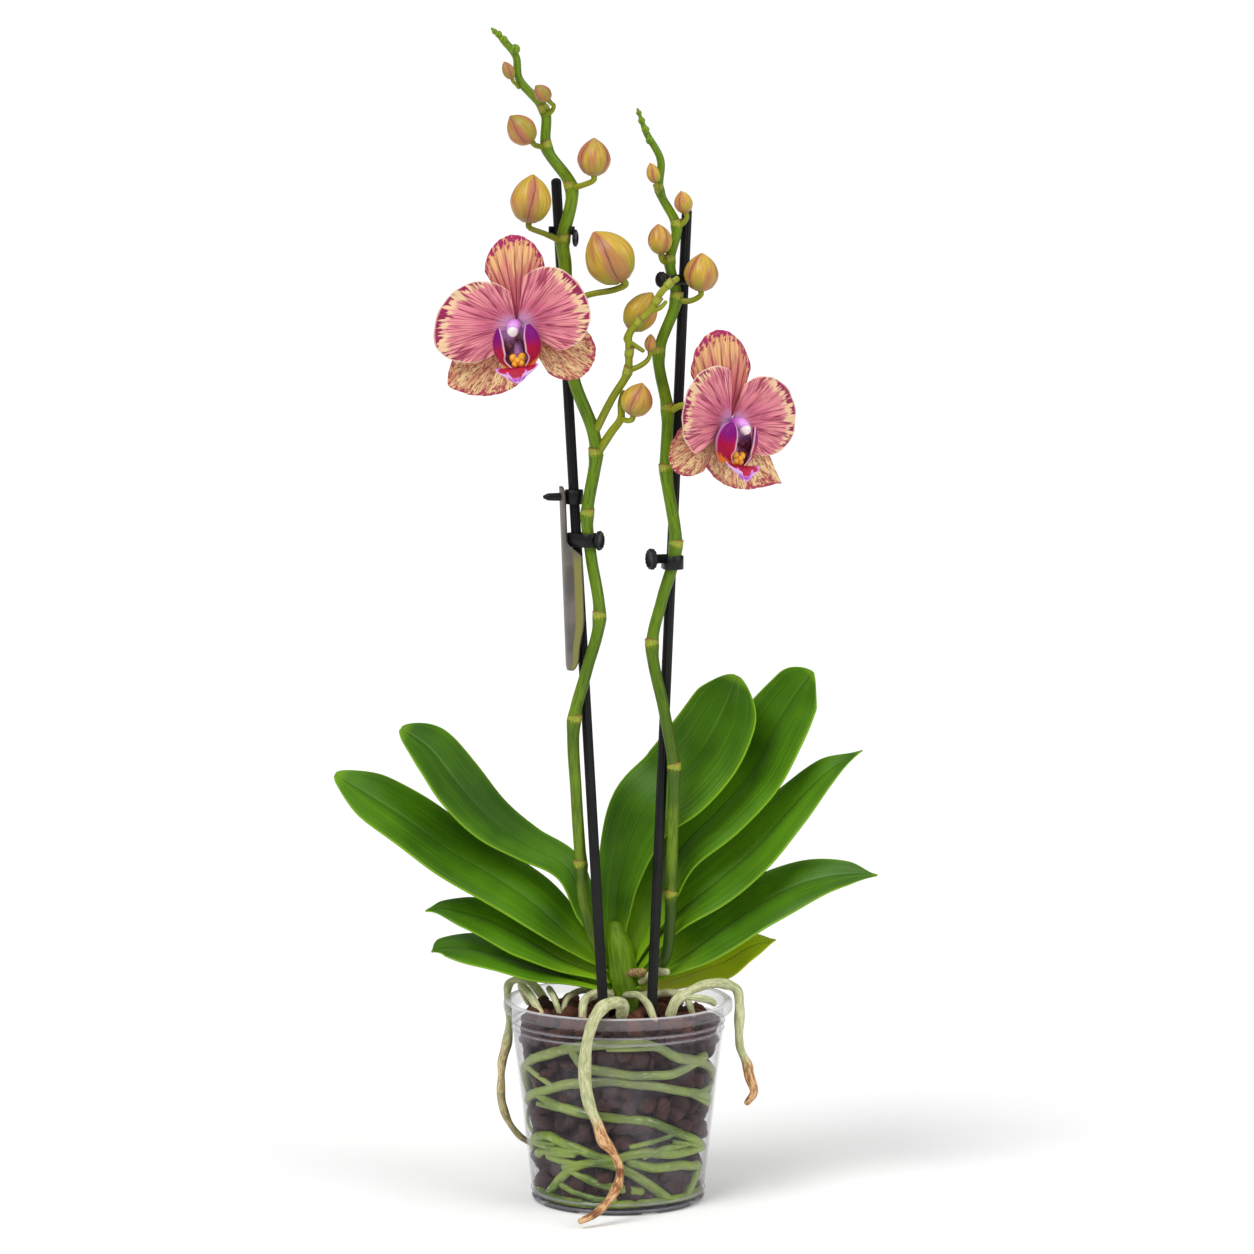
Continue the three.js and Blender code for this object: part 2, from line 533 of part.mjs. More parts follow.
// Each leaf: its midrib as [x, y, z, half width] points, the way its near edge points, and how deep
// it is folded at the crown and further out. hand is +1 on the left and -1 on the right: its upper
// face looks up.
const LEAVES = {
  left_1: {
    hand: 1, near: [-0.44, -0.8, -0.41], channel: 45, trough: 11,
    line: [
      [-1.5, 3.5, 124, 6], [-9, 6.5, 134, 9], [-17.2, 8.5, 149, 11], [-26.9, 9.3, 172, 12],
      [-47.9, 8.9, 184.1, 14], [-67.4, 8.3, 197.7, 17.8], [-84.8, 8.4, 216.4, 20],
      [-99.4, 8.5, 235.2, 17.5], [-113.4, 7.6, 246.2, 13],
    ],
  },
  left_2: {
    hand: 1, near: [-0.37, -0.76, -0.53], channel: 45, trough: 12,
    line: [
      [-2.6, 1.5, 119, 6], [-14, 3.8, 127, 10.5], [-28.9, 4.5, 139.9, 15], [-43.7, 3.7, 153.3, 18.4],
      [-61.8, 3.7, 165.9, 19.5], [-88.6, 3.7, 181.9, 20.3], [-109.6, 3.6, 197, 19.6],
      [-130, 3.1, 210.9, 17], [-147.6, 2.2, 222.8, 11],
    ],
  },
  left_3: {
    hand: 1, near: [-0.21, -0.77, -0.6], channel: 40, trough: 10,
    line: [
      [-3.4, 0.8, 114.5, 6], [-28.9, 2.6, 124.1, 12.5], [-48, 0.8, 135.9, 15.3],
      [-64.6, 0, 144.5, 14.1], [-80, -0.2, 149.7, 10.7], [-91.2, -1.1, 152.3, 5.6],
      [-100.3, -2.5, 151.5, 1.2],
    ],
  },
  left_4: {
    hand: 1, near: [-0.07, -0.85, -0.51], channel: 36, trough: 8,
    line: [
      [-3.4, -0.8, 109, 6], [-26.2, 0.5, 116.2, 10.6], [-44.7, -0.2, 122, 12.8],
      [-61.8, -0.9, 127.2, 13.7], [-78.6, -1.4, 131.1, 12.2], [-92, -2.2, 131.6, 6.9],
      [-97.1, -4.5, 130.5, 1.4],
    ],
  },
  right_1: {
    hand: -1, near: [0.73, -0.55, -0.41], channel: 45, trough: 10,
    line: [
      [1.6, 3, 124, 7], [-0.4, 5.5, 135, 9], [-0.6, 7.6, 150, 11], [2.4, 7.6, 172.1, 14.5],
      [13.8, 6.5, 202.6, 20.8], [31, 6.2, 218.1, 23.8], [47, 5.7, 237.2, 24],
      [57.8, 5, 259.1, 20.5], [62.2, 2.1, 274.4, 15],
    ],
  },
  right_2: {
    hand: -1, near: [0.63, -0.65, -0.42], channel: 45, trough: 12,
    line: [
      [5, 4.5, 119.5, 8], [19.5, 11.4, 148.9, 16], [31.8, 11.4, 180.1, 17.5], [53.2, 11, 202.8, 20.5],
      [71.7, 10.7, 224.5, 22], [82.9, 10.7, 245.9, 22], [95, 8.8, 265.8, 16.5], [101.5, 4.1, 276, 10.5],
    ],
  },
  right_3: {
    hand: -1, near: [0.46, -0.75, -0.48], channel: 36, trough: 13,
    line: [
      [6, 2.5, 115.5, 7], [28.9, 7.2, 145.6, 15], [51.9, 6.3, 165.1, 18], [72.9, 5.7, 183.8, 18.2],
      [90.4, 5, 203.8, 15.2], [108.7, 2, 223.3, 9.4], [127, -1.4, 235.9, 1.4],
    ],
  },
  right_4: {
    hand: -1, near: [0.26, -0.77, -0.58], channel: 40, trough: 10,
    line: [
      [6.4, 0.5, 110.5, 7], [34.6, 5, 125.6, 15.5], [54.3, 2.9, 140.4, 18], [76.2, 1.8, 155.1, 18],
      [98.4, 0, 165.8, 14.8], [119.6, -2.9, 170.6, 8.4], [134.9, -6.5, 171.1, 1.4],
    ],
  },
  right_5: {
    hand: -1, near: [0.29, -0.65, -0.7], channel: 36, trough: 10,
    line: [
      [6.6, 2, 106.8, 5], [37.8, 10.2, 115.5, 8.6], [55.9, 11.4, 122, 10.6], [70, 9.7, 130.7, 8],
      [82.7, 7.6, 134.6, 1.4],
    ],
  },
};

const LEAF_ROWS = 10;
const LEAF_COLUMNS = 4;

// A leaf keeps its width until near its end, then rounds off like the end of an ellipse.
function tipShare(t) {
  const past = clamp((t - 1 + LEAF_TIP_SHARE) / LEAF_TIP_SHARE, 0, 0.995);
  return Math.sqrt(1 - past ** 2);
}

// A thick blade, folded to a channel at the crown and opening to a shallow trough.
function leaf({ line, near, channel, trough, hand }, grow = 0) {
  const midrib = new THREE.CatmullRomCurve3(line.map(vec));
  const widths = new THREE.SplineCurve(line.map(([, , , half], k) => new THREE.Vector2(k, half)));
  const rows = [];
  for (let i = 0; i <= LEAF_ROWS; i++) {
    const t = 1 - (1 - i / LEAF_ROWS) ** 1.5;
    const tangent = midrib.getTangent(t);
    const side = vec(near).projectOnPlane(tangent).normalize();
    const up = tangent.clone().cross(side).multiplyScalar(hand);
    const width = widths.getPoint(t).y * tipShare(t) + grow;
    const fold = lerp(channel, trough, smoothstep(t, 0, 0.4)) * DEG;
    const row = [];
    for (let j = 0; j <= LEAF_COLUMNS; j++) {
      const across = (2 * j) / LEAF_COLUMNS - 1;
      const reach = width * Math.abs(across);
      row.push(midrib.getPoint(t)
        .addScaledVector(side, Math.sign(across) * reach * Math.cos(fold))
        .addScaledVector(up, reach * Math.sin(fold) * (1 - 0.35 * Math.abs(across))));
    }
    if (i === 0) row.forEach((p) => p.addScaledVector(tangent, -grow));
    if (i === LEAF_ROWS) row.forEach((p) => p.addScaledVector(tangent, grow));
    rows.push(row);
  }
  const offRib = (j) => Math.abs((2 * j) / LEAF_COLUMNS - 1);
  return sheet(rows, (_, j) => LEAF_THICKNESS * (1 - 0.35 * offRib(j)) + grow * 2);
}

// ---------------------------------------------------------------- roots

// A point against the inside of the pot's wall: degrees round from the front, and height.
function atWall(degrees, z) {
  const r = wallRadius(z) - POT_WALL - WALL_ROOT_RADIUS - CLEARANCE * 1.5;
  return [r * Math.sin(degrees * DEG), -r * Math.cos(degrees * DEG), z, WALL_ROOT_RADIUS];
}

// The roots pressed against the wall, each as [degrees round from the front, height] points.
const WALL_ROOTS = [
  [
    [-105, 47], [-90, 66], [-60, 78], [-30, 87], [-12, 90], [12, 91], [24, 88], [36, 82], [60, 76],
    [90, 66], [102, 49],
  ],
  [
    [-180, 20], [-160, 22], [-130, 36], [-105, 46], [-75, 56], [-49, 63], [-32, 68], [-5, 71],
    [21, 68], [66, 58], [95, 50], [122, 53], [150, 43], [176, 22],
  ],
  [[-62, 60], [-45, 56], [-20, 53], [1, 51], [20, 49], [45, 40], [72, 31]],
  [
    [-135, 6], [-100, 22], [-75, 33], [-52, 38], [-28, 34], [-5, 29], [15, 33], [40, 30], [70, 29],
    [95, 26], [130, 15], [150, 5],
  ],
  [[-60, 6], [-38, 20], [-19, 27], [1, 25], [22, 15], [38, 6]],
  [[60, 6], [76, 18], [48, 23], [24, 24], [8, 28]],
  [[-28, 87], [-20, 78], [8, 74], [34, 73], [62, 79]],
  [[110, 68], [140, 78], [176, 70], [-150, 74], [-118, 60], [-104, 48]],
];

function innerRoots() {
  const rounds = WALL_ROOTS.map((root) => {
    const even = [];
    for (let k = 0; k < root.length - 1; k++) {
      const [[a0, z0], [a1, z1]] = [root[k], root[k + 1]];
      const turn = ((a1 - a0 + 540) % 360) - 180;
      const parts = Math.max(1, Math.round(Math.abs(turn) / 22));
      for (let s = 0; s < parts; s++) even.push([a0 + (turn * s) / parts, lerp(z0, z1, s / parts)]);
    }
    even.push(root.at(-1));
    return stalk(even.map(([degrees, z]) => atWall(degrees, z)), { sides: 5, steps: 1 });
  });
  const floorRing = new THREE.TorusGeometry(atWall(90, 5)[0], WALL_ROOT_RADIUS, 5, 20)
    .translate(0, 0, 5);
  return fuse([solidFromGeometry(floorRing), ...rounds]);
}

const AIR_ROOT_FRONT = [
  [2, -38, 103, 2.8], [2.5, -44, 110.5, 3], [-3, -51, 112, 3.1], [-8, -58, 110.8, 3.1],
  [-12.2, -64.2, 105.5, 3.2], [-15.6, -64.6, 94, 3.2], [-16.7, -62, 75, 3.1], [-14.4, -60, 61, 3],
  [-10.1, -60, 50.7, 2.7], [-7.5, -60, 43, 3.1], [-3, -60, 37.5, 2.5], [1.1, -60, 27.4, 2.4],
  [-0.4, -61.5, 19, 2.3], [-5.5, -64.5, 11.5, 2.2], [-11.6, -68, 6.4, 2.1], [-19, -72.5, 3.6, 1.5],
];
const AIR_ROOT_RIGHT = [
  [27, -26, 101, 2.3], [30, -27, 108.5, 2.6], [37, -22, 112.8, 2.6], [48, -12, 115, 2.6],
  [57, -4, 113, 2.6], [62.2, -1, 109.5, 2.6], [63.5, -2, 101, 2.5], [63.2, -4, 90, 2.5],
  [63.8, -5, 79.8, 2.5], [67.4, -6, 71.3, 2.5], [68.6, -6, 65, 2.6], [71, -6, 56.6, 2.3],
  [67.4, -6, 50.8, 1.6],
];
const AIR_ROOT_RIGHT_FORK = [
  [33, -25, 110.5, 2.1], [42, -24, 109.5, 2], [47.5, -19.5, 107.5, 1.9], [50, -16.5, 105.3, 1.6],
];
const AIR_ROOT_LEFT = [
  [-38, 20, 100, 1.9], [-46, 23, 109, 2.1], [-53, 25.5, 110.3, 2.1], [-57.5, 27, 108, 2.1],
  [-58.6, 26.5, 101, 2.1], [-57.6, 26, 88, 2.1], [-58.8, 20, 77, 2.5], [-61, 14, 69, 2.2],
  [-61.4, 8, 60, 2.1], [-61.2, 6, 50, 2.1], [-58, 8, 39, 2], [-52.5, 12, 30, 1.9],
  [-46, 20, 23.5, 1.5],
];

const airRootFront = (grow = 0) => stalk(AIR_ROOT_FRONT, { steps: 1, grow });
const airRootRight = (grow = 0) => fuse([
  stalk(AIR_ROOT_RIGHT, { steps: 1, grow }),
  stalk(AIR_ROOT_RIGHT_FORK, { steps: 1, grow }),
]);
const airRootLeft = (grow = 0) => stalk(AIR_ROOT_LEFT, { steps: 1, grow });

// ---------------------------------------------------------------- bark

const BARK_FOOT = 2.2; // the underside of the bark, above the pot's floor
const CHIP_SIZES = [[9, 15], [7, 11], [6, 9]];
const CHIP_TILT = 0.35;
const CHIP_HEIGHTS = [95.5, 100];
const GOLDEN_TURN = 2.39996; // radians from one chip to the next, which spreads them evenly

// A bed of bark: one packed core, with chips sunk into its top, and plain holes for what stands in it.
function barkBed() {
  const edge = (z) => wallRadius(z) - BARK_RIM_GAP - POT_WALL;
  const profile = [
    [0, BARK_FOOT], [edge(0) + 2, BARK_FOOT], [edge(5) - 0.4, 5], [edge(60), 60],
    [edge(BARK_TOP - 3), BARK_TOP - 3], [edge(BARK_TOP) - 4, BARK_TOP], [0, BARK_TOP],
  ].map(([r, z]) => new THREE.Vector2(r, z));
  const core = new THREE.LatheGeometry(profile, 20).rotateX(Math.PI / 2);
  const draw = seededDraws(11);
  const chips = Array.from({ length: BARK_CHUNKS }, (_, k) => {
    const chip = new THREE.BoxGeometry(...CHIP_SIZES.map(([low, high]) => draw(low, high)));
    chip.rotateX(draw(-CHIP_TILT, CHIP_TILT));
    chip.rotateY(draw(-CHIP_TILT, CHIP_TILT));
    chip.rotateZ(draw(0, Math.PI));
    const radius = (edge(BARK_TOP) - 3) * Math.sqrt((k + 0.5) / BARK_CHUNKS);
    const [x, y] = [radius * Math.cos(k * GOLDEN_TURN), radius * Math.sin(k * GOLDEN_TURN)];
    return solidFromGeometry(chip.translate(x, y, draw(...CHIP_HEIGHTS)));
  });
  const holes = [
    stake(STAKES.left, CLEARANCE), stake(STAKES.right, CLEARANCE), crown(CLEARANCE),
    airRootFront(CLEARANCE), airRootRight(CLEARANCE), airRootLeft(CLEARANCE),
  ];
  return carve(fuse([solidFromGeometry(core), ...chips]), holes);
}

// ---------------------------------------------------------------- clips and label

const CLIP_INNER_RADIUS = 4.5;
const CLIP_OUTER_RADIUS = 5.4;
const CLIP_NECK_RADIUS = 2.4;

// Each clip: its middle's height, its loop's height, and the way its button faces. The button sits raise
// above the loop's middle. Its neck ends at neck, and its disc, disc wide, at reach, from the stem's
// middle. An open clip grips its stem from behind, like a claw.
const CLIPS = {
  left_lower: { z: 346, height: 7, facing: [1, -0.45, 0], raise: 0, neck: 5, reach: 7, disc: 9.8 },
  left_upper: {
    z: 504.5, height: 4.4, facing: [1, -0.25, 0], raise: -3.8, neck: 5.1, reach: 6.6, disc: 8.6,
    open: true,
  },
  right_lower: {
    z: 334.6, height: 7, facing: [-0.9, -0.44, 0], raise: 2.2, neck: 11.2, reach: 13.8, disc: 10.5,
  },
  right_upper: {
    z: 479.5, height: 5, facing: [-0.75, -0.66, 0], raise: 0, neck: 6.6, reach: 9.2, disc: 8,
  },
};

// The middle of a spike at a given height.
function pointOnSpike(chain, z) {
  const curve = new THREE.CatmullRomCurve3(chain.map(vec));
  let [low, high] = [0, 1];
  while (high - low > 1e-4) {
    const middle = (low + high) / 2;
    if (curve.getPoint(middle).z < z) low = middle;
    else high = middle;
  }
  return curve.getPoint(low);
}

// A plastic clip: a loop round the stake and the stem, with a round button at one end.
function clip(line, spike, { z, height, facing, raise, neck, reach, disc, open }) {
  const [onStake, onStem] = [vec(stakeAt(line, z)), pointOnSpike(spike, z)];
  const way = onStem.clone().sub(onStake);
  const racetrack = (radius) => {
    const shape = new THREE.Shape();
    shape.absarc(0, 0, radius, Math.PI / 2, (3 * Math.PI) / 2, false);
    shape.absarc(Math.hypot(way.x, way.y), 0, radius, -Math.PI / 2, Math.PI / 2, false);
    return shape;
  };
  const loop = racetrack(CLIP_OUTER_RADIUS);
  loop.holes.push(racetrack(CLIP_INNER_RADIUS));
  const band = new THREE.ExtrudeGeometry(loop, { depth: height, bevelEnabled: false, curveSegments: 5 })
    .rotateZ(Math.atan2(way.y, way.x))
    .translate(onStake.x, onStake.y, z - height / 2);
  const side = vec(facing).normalize();
  const heart = onStem.clone().add(new THREE.Vector3(0, 0, raise));
  const outAlong = (distance) => [...heart.clone().addScaledVector(side, distance)];
  const button = (from, to, radius) => rod(outAlong(from), outAlong(to), radius);
  const inTheWall = (CLIP_INNER_RADIUS + CLIP_OUTER_RADIUS) / 2;
  let loopSolid = solidFromGeometry(band);
  if (open) {
    const mouth = new THREE.BoxGeometry(2 * CLIP_INNER_RADIUS, CLIP_OUTER_RADIUS * 2, height * 2)
      .translate(0, -CLIP_OUTER_RADIUS - CLIP_NECK_RADIUS - 0.4, 0)
      .rotateZ(Math.atan2(side.y, side.x) + (side.x < 0 ? Math.PI : 0))
      .translate(...onStem);
    loopSolid = loopSolid.subtract(solidFromGeometry(mouth));
  }
  return fuse([
    loopSolid,
    button(inTheWall, neck + 0.5, CLIP_NECK_RADIUS),
    button(neck, reach, disc / 2),
  ]);
}

const LABEL_CLIP_HEIGHT = 368;
const LABEL_RADIUS = 11;
const LABEL_TOP = 373.5;
const LABEL_BOTTOM = 279;
const LABEL_THICKNESS = 0.8;
const LABEL_FREE_EDGE = 178; // degrees round the label's own middle
const LABEL_FAR_EDGES = [222, 266, 248]; // the other edge at the neck, in the body and at the foot
const COLLAR_RADIUS = 4.7;
const COLLAR_HEIGHT = 7.5;
const PEG_RADIUS = 2.1;

function labelClip() {
  const [x, y, z] = stakeAt(STAKES.left, LABEL_CLIP_HEIGHT);
  const collar = new THREE.Shape().absarc(0, 0, COLLAR_RADIUS, 0, 2 * Math.PI, false);
  collar.holes.push(new THREE.Path().absarc(0, 0, STAKE_RADIUS + 0.9, 0, 2 * Math.PI, true));
  const ringShape = new THREE.ExtrudeGeometry(collar, {
    depth: COLLAR_HEIGHT, bevelEnabled: false, curveSegments: 6,
  }).translate(x, y, z - COLLAR_HEIGHT / 2);
  const peg = [
    [x - 4, y, z, PEG_RADIUS], [x - 9, y - 0.5, z, PEG_RADIUS], [x - 13.5, y - 1, z, 1.9],
    [x - 15.2, y - 1.1, z, 1.1],
  ];
  return fuse([solidFromGeometry(ringShape), stalk(peg, { sides: 8, steps: 1 })]);
}

// The plastic label: a strip bent round the stake, narrow at the top where it hangs on its peg.
function label() {
  const rows = [];
  const levels = 11;
  for (let i = 0; i <= levels; i++) {
    const z = lerp(LABEL_TOP, LABEL_BOTTOM, i / levels);
    const [x, y] = stakeAt(STAKES.left, z);
    const roundTop = Math.sqrt(1 - (1 - Math.min((LABEL_TOP - z + 0.6) / 6, 1)) ** 2);
    const roundFoot = Math.sqrt(1 - (1 - Math.min((z - LABEL_BOTTOM + 0.6) / 9, 1)) ** 2);
    const [atNeck, inBody, atFoot] = LABEL_FAR_EDGES;
    const body = lerp(atNeck, inBody, smoothstep(LABEL_TOP - z, 28, 36));
    const farEdge = lerp(body, atFoot, smoothstep(LABEL_TOP - z, 66, 88));
    const middle = (LABEL_FREE_EDGE + farEdge) / 2;
    const halfTurn = ((farEdge - LABEL_FREE_EDGE) / 2) * Math.min(roundTop, roundFoot);
    rows.push(Array.from({ length: 5 }, (_, j) => {
      const turn = (middle + halfTurn * (j / 2 - 1)) * DEG;
      const centre = [x + lerp(2, 3.8, (z - LABEL_BOTTOM) / (LABEL_TOP - LABEL_BOTTOM)), y + 2.6];
      const out = [LABEL_RADIUS * Math.cos(turn), LABEL_RADIUS * Math.sin(turn)];
      return new THREE.Vector3(centre[0] + out[0], centre[1] + out[1], z);
    }));
  }
  const [x, y, z] = stakeAt(STAKES.left, LABEL_CLIP_HEIGHT);
  const pegHole = rod([x - 2, y, z], [x - 16, y - 1.1, z], PEG_RADIUS + CLEARANCE + 0.2);
  return sheet(rows, () => LABEL_THICKNESS).subtract(pegHole);
}

// ---------------------------------------------------------------- assembly

const orchid = new THREE.Group();

function add(name, solid, [color, roughness, extra = {}], parent = orchid) {
  const material = new THREE.MeshStandardMaterial({ color, roughness, metalness: 0, ...extra });
  const mesh = new THREE.Mesh(geometryOf(solid), material);
  mesh.name = name;
  parent.add(mesh);
  return mesh;
}

const CLEAR_PLASTIC = [0xd9d8dc, 0.15, { transparent: true, opacity: 0.35 }];
const BARK = [0x5a2f22, 0.9];
const ROOT_INSIDE = [0x7f9a52, 0.6];
const ROOT_OUTSIDE = [0xa9b79a, 0.65];
const LEAF_GREEN = [0x2f6b1c, 0.35];
const LEAF_YELLOW = [0x8fa62a, 0.45];
const STEM_GREEN = [0x6f9c1f, 0.45];
const BUD = [0xb08a3c, 0.45];
const PETAL_PINK = [0xcf6b82, 0.5];
const SEPAL_PEACH = [0xd9a07c, 0.5];
const LIP_CRIMSON = [0xa51650, 0.45];
const COLUMN_LILAC = [0xd9a6dc, 0.45];
const BLACK_PLASTIC = [0x17161a, 0.35];
const LABEL_GREY = [0x6d6860, 0.4];

add("pot", pot(), CLEAR_PLASTIC);
add("bark_bed", barkBed(), BARK);
add("inner_roots", innerRoots(), ROOT_INSIDE);
add("aerial_root_front", airRootFront(), ROOT_OUTSIDE);
add("aerial_root_right", airRootRight(), ROOT_OUTSIDE);
add("aerial_root_left", airRootLeft(), ROOT_OUTSIDE);
add("crown", crown(), STEM_GREEN);

// Spikes, stakes and the crown keep their room; each leaf also clears the leaves above it.
const inTheWay = [crown(CLEARANCE), spikeLeft(CLEARANCE), spikeRight(CLEARANCE),
  stake(STAKES.left, CLEARANCE), stake(STAKES.right, CLEARANCE)];
for (const [name, form] of Object.entries(LEAVES)) {
  add(`leaf_${name}`, carve(leaf(form), inTheWay), name === "right_5" ? LEAF_YELLOW : LEAF_GREEN);
  inTheWay.push(leaf(form, CLEARANCE));
}

add("spike_left", spikeLeft(), STEM_GREEN);
add("spike_right", spikeRight(), STEM_GREEN);
for (const [name, form] of Object.entries(BUDS)) add(`bud_${name}`, bud(form), BUD);

for (const [name, form] of Object.entries(BLOOMS)) {
  const flower = new THREE.Group();
  flower.applyMatrix4(bloomMatrix(form));
  orchid.add(flower);
  add(`bloom_${name}_sepals`, sepals(form), SEPAL_PEACH, flower);
  add(`bloom_${name}_petals`, petals(form), PETAL_PINK, flower);
  add(`bloom_${name}_lip`, lip(), LIP_CRIMSON, flower).rotation.z = form.sway * DEG;
  add(`bloom_${name}_column`, column(), COLUMN_LILAC, flower);
}

add("stake_left", stake(STAKES.left), BLACK_PLASTIC);
add("stake_right", stake(STAKES.right), BLACK_PLASTIC);
for (const [name, form] of Object.entries(CLIPS)) {
  const onLeft = name.startsWith("left");
  const solid = clip(onLeft ? STAKES.left : STAKES.right, onLeft ? SPIKE_LEFT : SPIKE_RIGHT, form);
  add(`clip_${name}`, solid, BLACK_PLASTIC);
}
add("label_clip", labelClip(), BLACK_PLASTIC);
add("label", label(), LABEL_GREY);

export default orchid;
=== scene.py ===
# %% [markdown]
# # A potted moth orchid
#
# A moth orchid sits in a clear pot of bark. Two flower spikes climb along black stakes, nine
# thick leaves fan out below them, and silvery roots hang over the rim. The packed model gives the
# place and the size of every piece. Here each piece is built again, finer, on the same lines.

# %% Load the model
import math
from random import Random

import bpy
import numpy as np
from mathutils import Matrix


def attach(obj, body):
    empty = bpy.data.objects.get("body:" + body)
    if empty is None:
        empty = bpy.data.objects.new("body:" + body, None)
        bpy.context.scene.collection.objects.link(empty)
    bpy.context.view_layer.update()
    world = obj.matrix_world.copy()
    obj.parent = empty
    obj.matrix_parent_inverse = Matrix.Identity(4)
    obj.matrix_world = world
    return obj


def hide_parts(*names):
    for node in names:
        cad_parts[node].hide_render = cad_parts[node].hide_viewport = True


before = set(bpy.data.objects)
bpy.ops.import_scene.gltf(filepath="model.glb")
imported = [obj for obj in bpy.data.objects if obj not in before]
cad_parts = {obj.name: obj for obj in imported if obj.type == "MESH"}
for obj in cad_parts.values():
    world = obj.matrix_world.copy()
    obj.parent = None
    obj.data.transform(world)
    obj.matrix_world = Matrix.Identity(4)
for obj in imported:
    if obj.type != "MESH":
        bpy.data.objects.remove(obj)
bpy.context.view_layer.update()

MM = 0.001  # the lines below are in millimetres, and Blender's unit is the metre
DEG = math.pi / 180

# %% [markdown]
# ## The camera
#
# The plant was seen from a little above the flowers, from far away with a long lens, so that the
# pot's rim is a narrow ellipse. A wide lens from nearby would make the pot look tapered and the
# leaves in front too big. The same distance, tilt and lens are set here.

# %% Camera
CAMERA_PLACE = (4.7, -2200.0, 511.8)
CAMERA_TILT_DOWN = 5.5
FOCAL_LENGTH = 122.44  # for a 36 mm wide sensor

camera = bpy.data.objects.new("camera", bpy.data.cameras.new("camera"))
camera.data.lens = FOCAL_LENGTH
camera.data.sensor_width = 36.0
camera.data.clip_end = 60.0
camera.location = [value * MM for value in CAMERA_PLACE]
camera.rotation_euler = ((90 - CAMERA_TILT_DOWN) * DEG, 0.0, 0.0)
bpy.context.collection.objects.link(camera)
bpy.context.scene.camera = camera
print("camera stands", round(-camera.location.y, 2), "m in front of the pot")

# %% [markdown]
# ## Smooth lines through a few points
#
# Stems, roots and leaf ribs are smooth lines through a few chosen points. Blender's own curves
# would do it, but the solids follow a centripetal Catmull-Rom line, so the same formula is
# written out. The fine skins then lie on the plain solids instead of beside them.

# %% Lines
def lerp(low, high, share):
    return low + (high - low) * share


def smooth(value, low, high):
    """0 below low, 1 above high, and an easy step between."""
    share = np.clip((value - low) / (high - low), 0.0, 1.0)
    return share * share * (3 - 2 * share)


def hermite(start, end, out, into, w):
    """A cubic from start to end that leaves with slope out and arrives with slope into."""
    rise = end - start
    return start + out * w + (3 * rise - 2 * out - into) * w**2 + (out + into - 2 * rise) * w**3


def line_point(points, t):
    """The point at share t, 0 to 1, of a centripetal Catmull-Rom line."""
    last = len(points) - 1
    k = min(int(t * last), last - 1)
    b, c = points[k], points[k + 1]
    a = points[k - 1] if k else 2 * b - c
    d = points[k + 2] if k + 2 <= last else 2 * c - b
    ab, bc, cd = (max(np.linalg.norm(q - p), 1e-4) ** 0.5 for p, q in ((a, b), (b, c), (c, d)))
    out = ((b - a) / ab - (c - a) / (ab + bc) + (c - b) / bc) * bc
    into = ((c - b) / bc - (d - b) / (bc + cd) + (d - c) / cd) * bc
    return hermite(b, c, out, into, t * last - k)


def line_direction(points, t):
    step = line_point(points, min(t + 1e-3, 1)) - line_point(points, max(t - 1e-3, 0))
    return step / np.linalg.norm(step)


def value_along(values, t):
    """A number at share t of a row of numbers, on a plain Catmull-Rom line."""
    last = len(values) - 1
    k = min(int(t * last), last - 1)
    a, b, c, d = values[max(k - 1, 0)], values[k], values[k + 1], values[min(k + 2, last)]
    return hermite(b, c, (c - a) / 2, (d - b) / 2, t * last - k)


bent = np.array([[0, 0, 0], [10, 5, 0], [20, 0, 0.0]])
print("the middle of a bent line:", line_point(bent, 0.5))

# %% [markdown]
# A few more helpers turn things and lay rings. A ring needs two sides that are square to the line
# it is threaded on, and the same two lines of algebra would otherwise stand in every piece.

# %% Turns and rings
def about_z(turn):
    c, s = math.cos(turn), math.sin(turn)
    return np.array([[c, -s, 0], [s, c, 0], [0, 0, 1]])


def about_x(turn):
    c, s = math.cos(turn), math.sin(turn)
    return np.array([[1, 0, 0], [0, c, -s], [0, s, c]])


def square_to(ahead, side):
    """The side way, made square to the way ahead and one long."""
    side = side - ahead * side.dot(ahead)
    return side / np.linalg.norm(side)


def turns_round(count):
    return np.arange(count) * 2 * math.pi / count


def spokes(side, over, turns):
    """The ways from the middle of a ring to its points."""
    return np.cos(turns)[:, None] * side + np.sin(turns)[:, None] * over


print("four turns round a ring:", turns_round(4).round(2))

# %% [markdown]
# ## Skins
#
# Every piece is a skin over a grid of points: a tube, a turned form or a thin blade. Each point
# also keeps three numbers, called its grain. They say where the point is on the piece: how far
# along, how far across, and on which face. Veins and streaks read them, so they follow the piece
# however it bends. A flat texture thrown over it would slide across the bends.

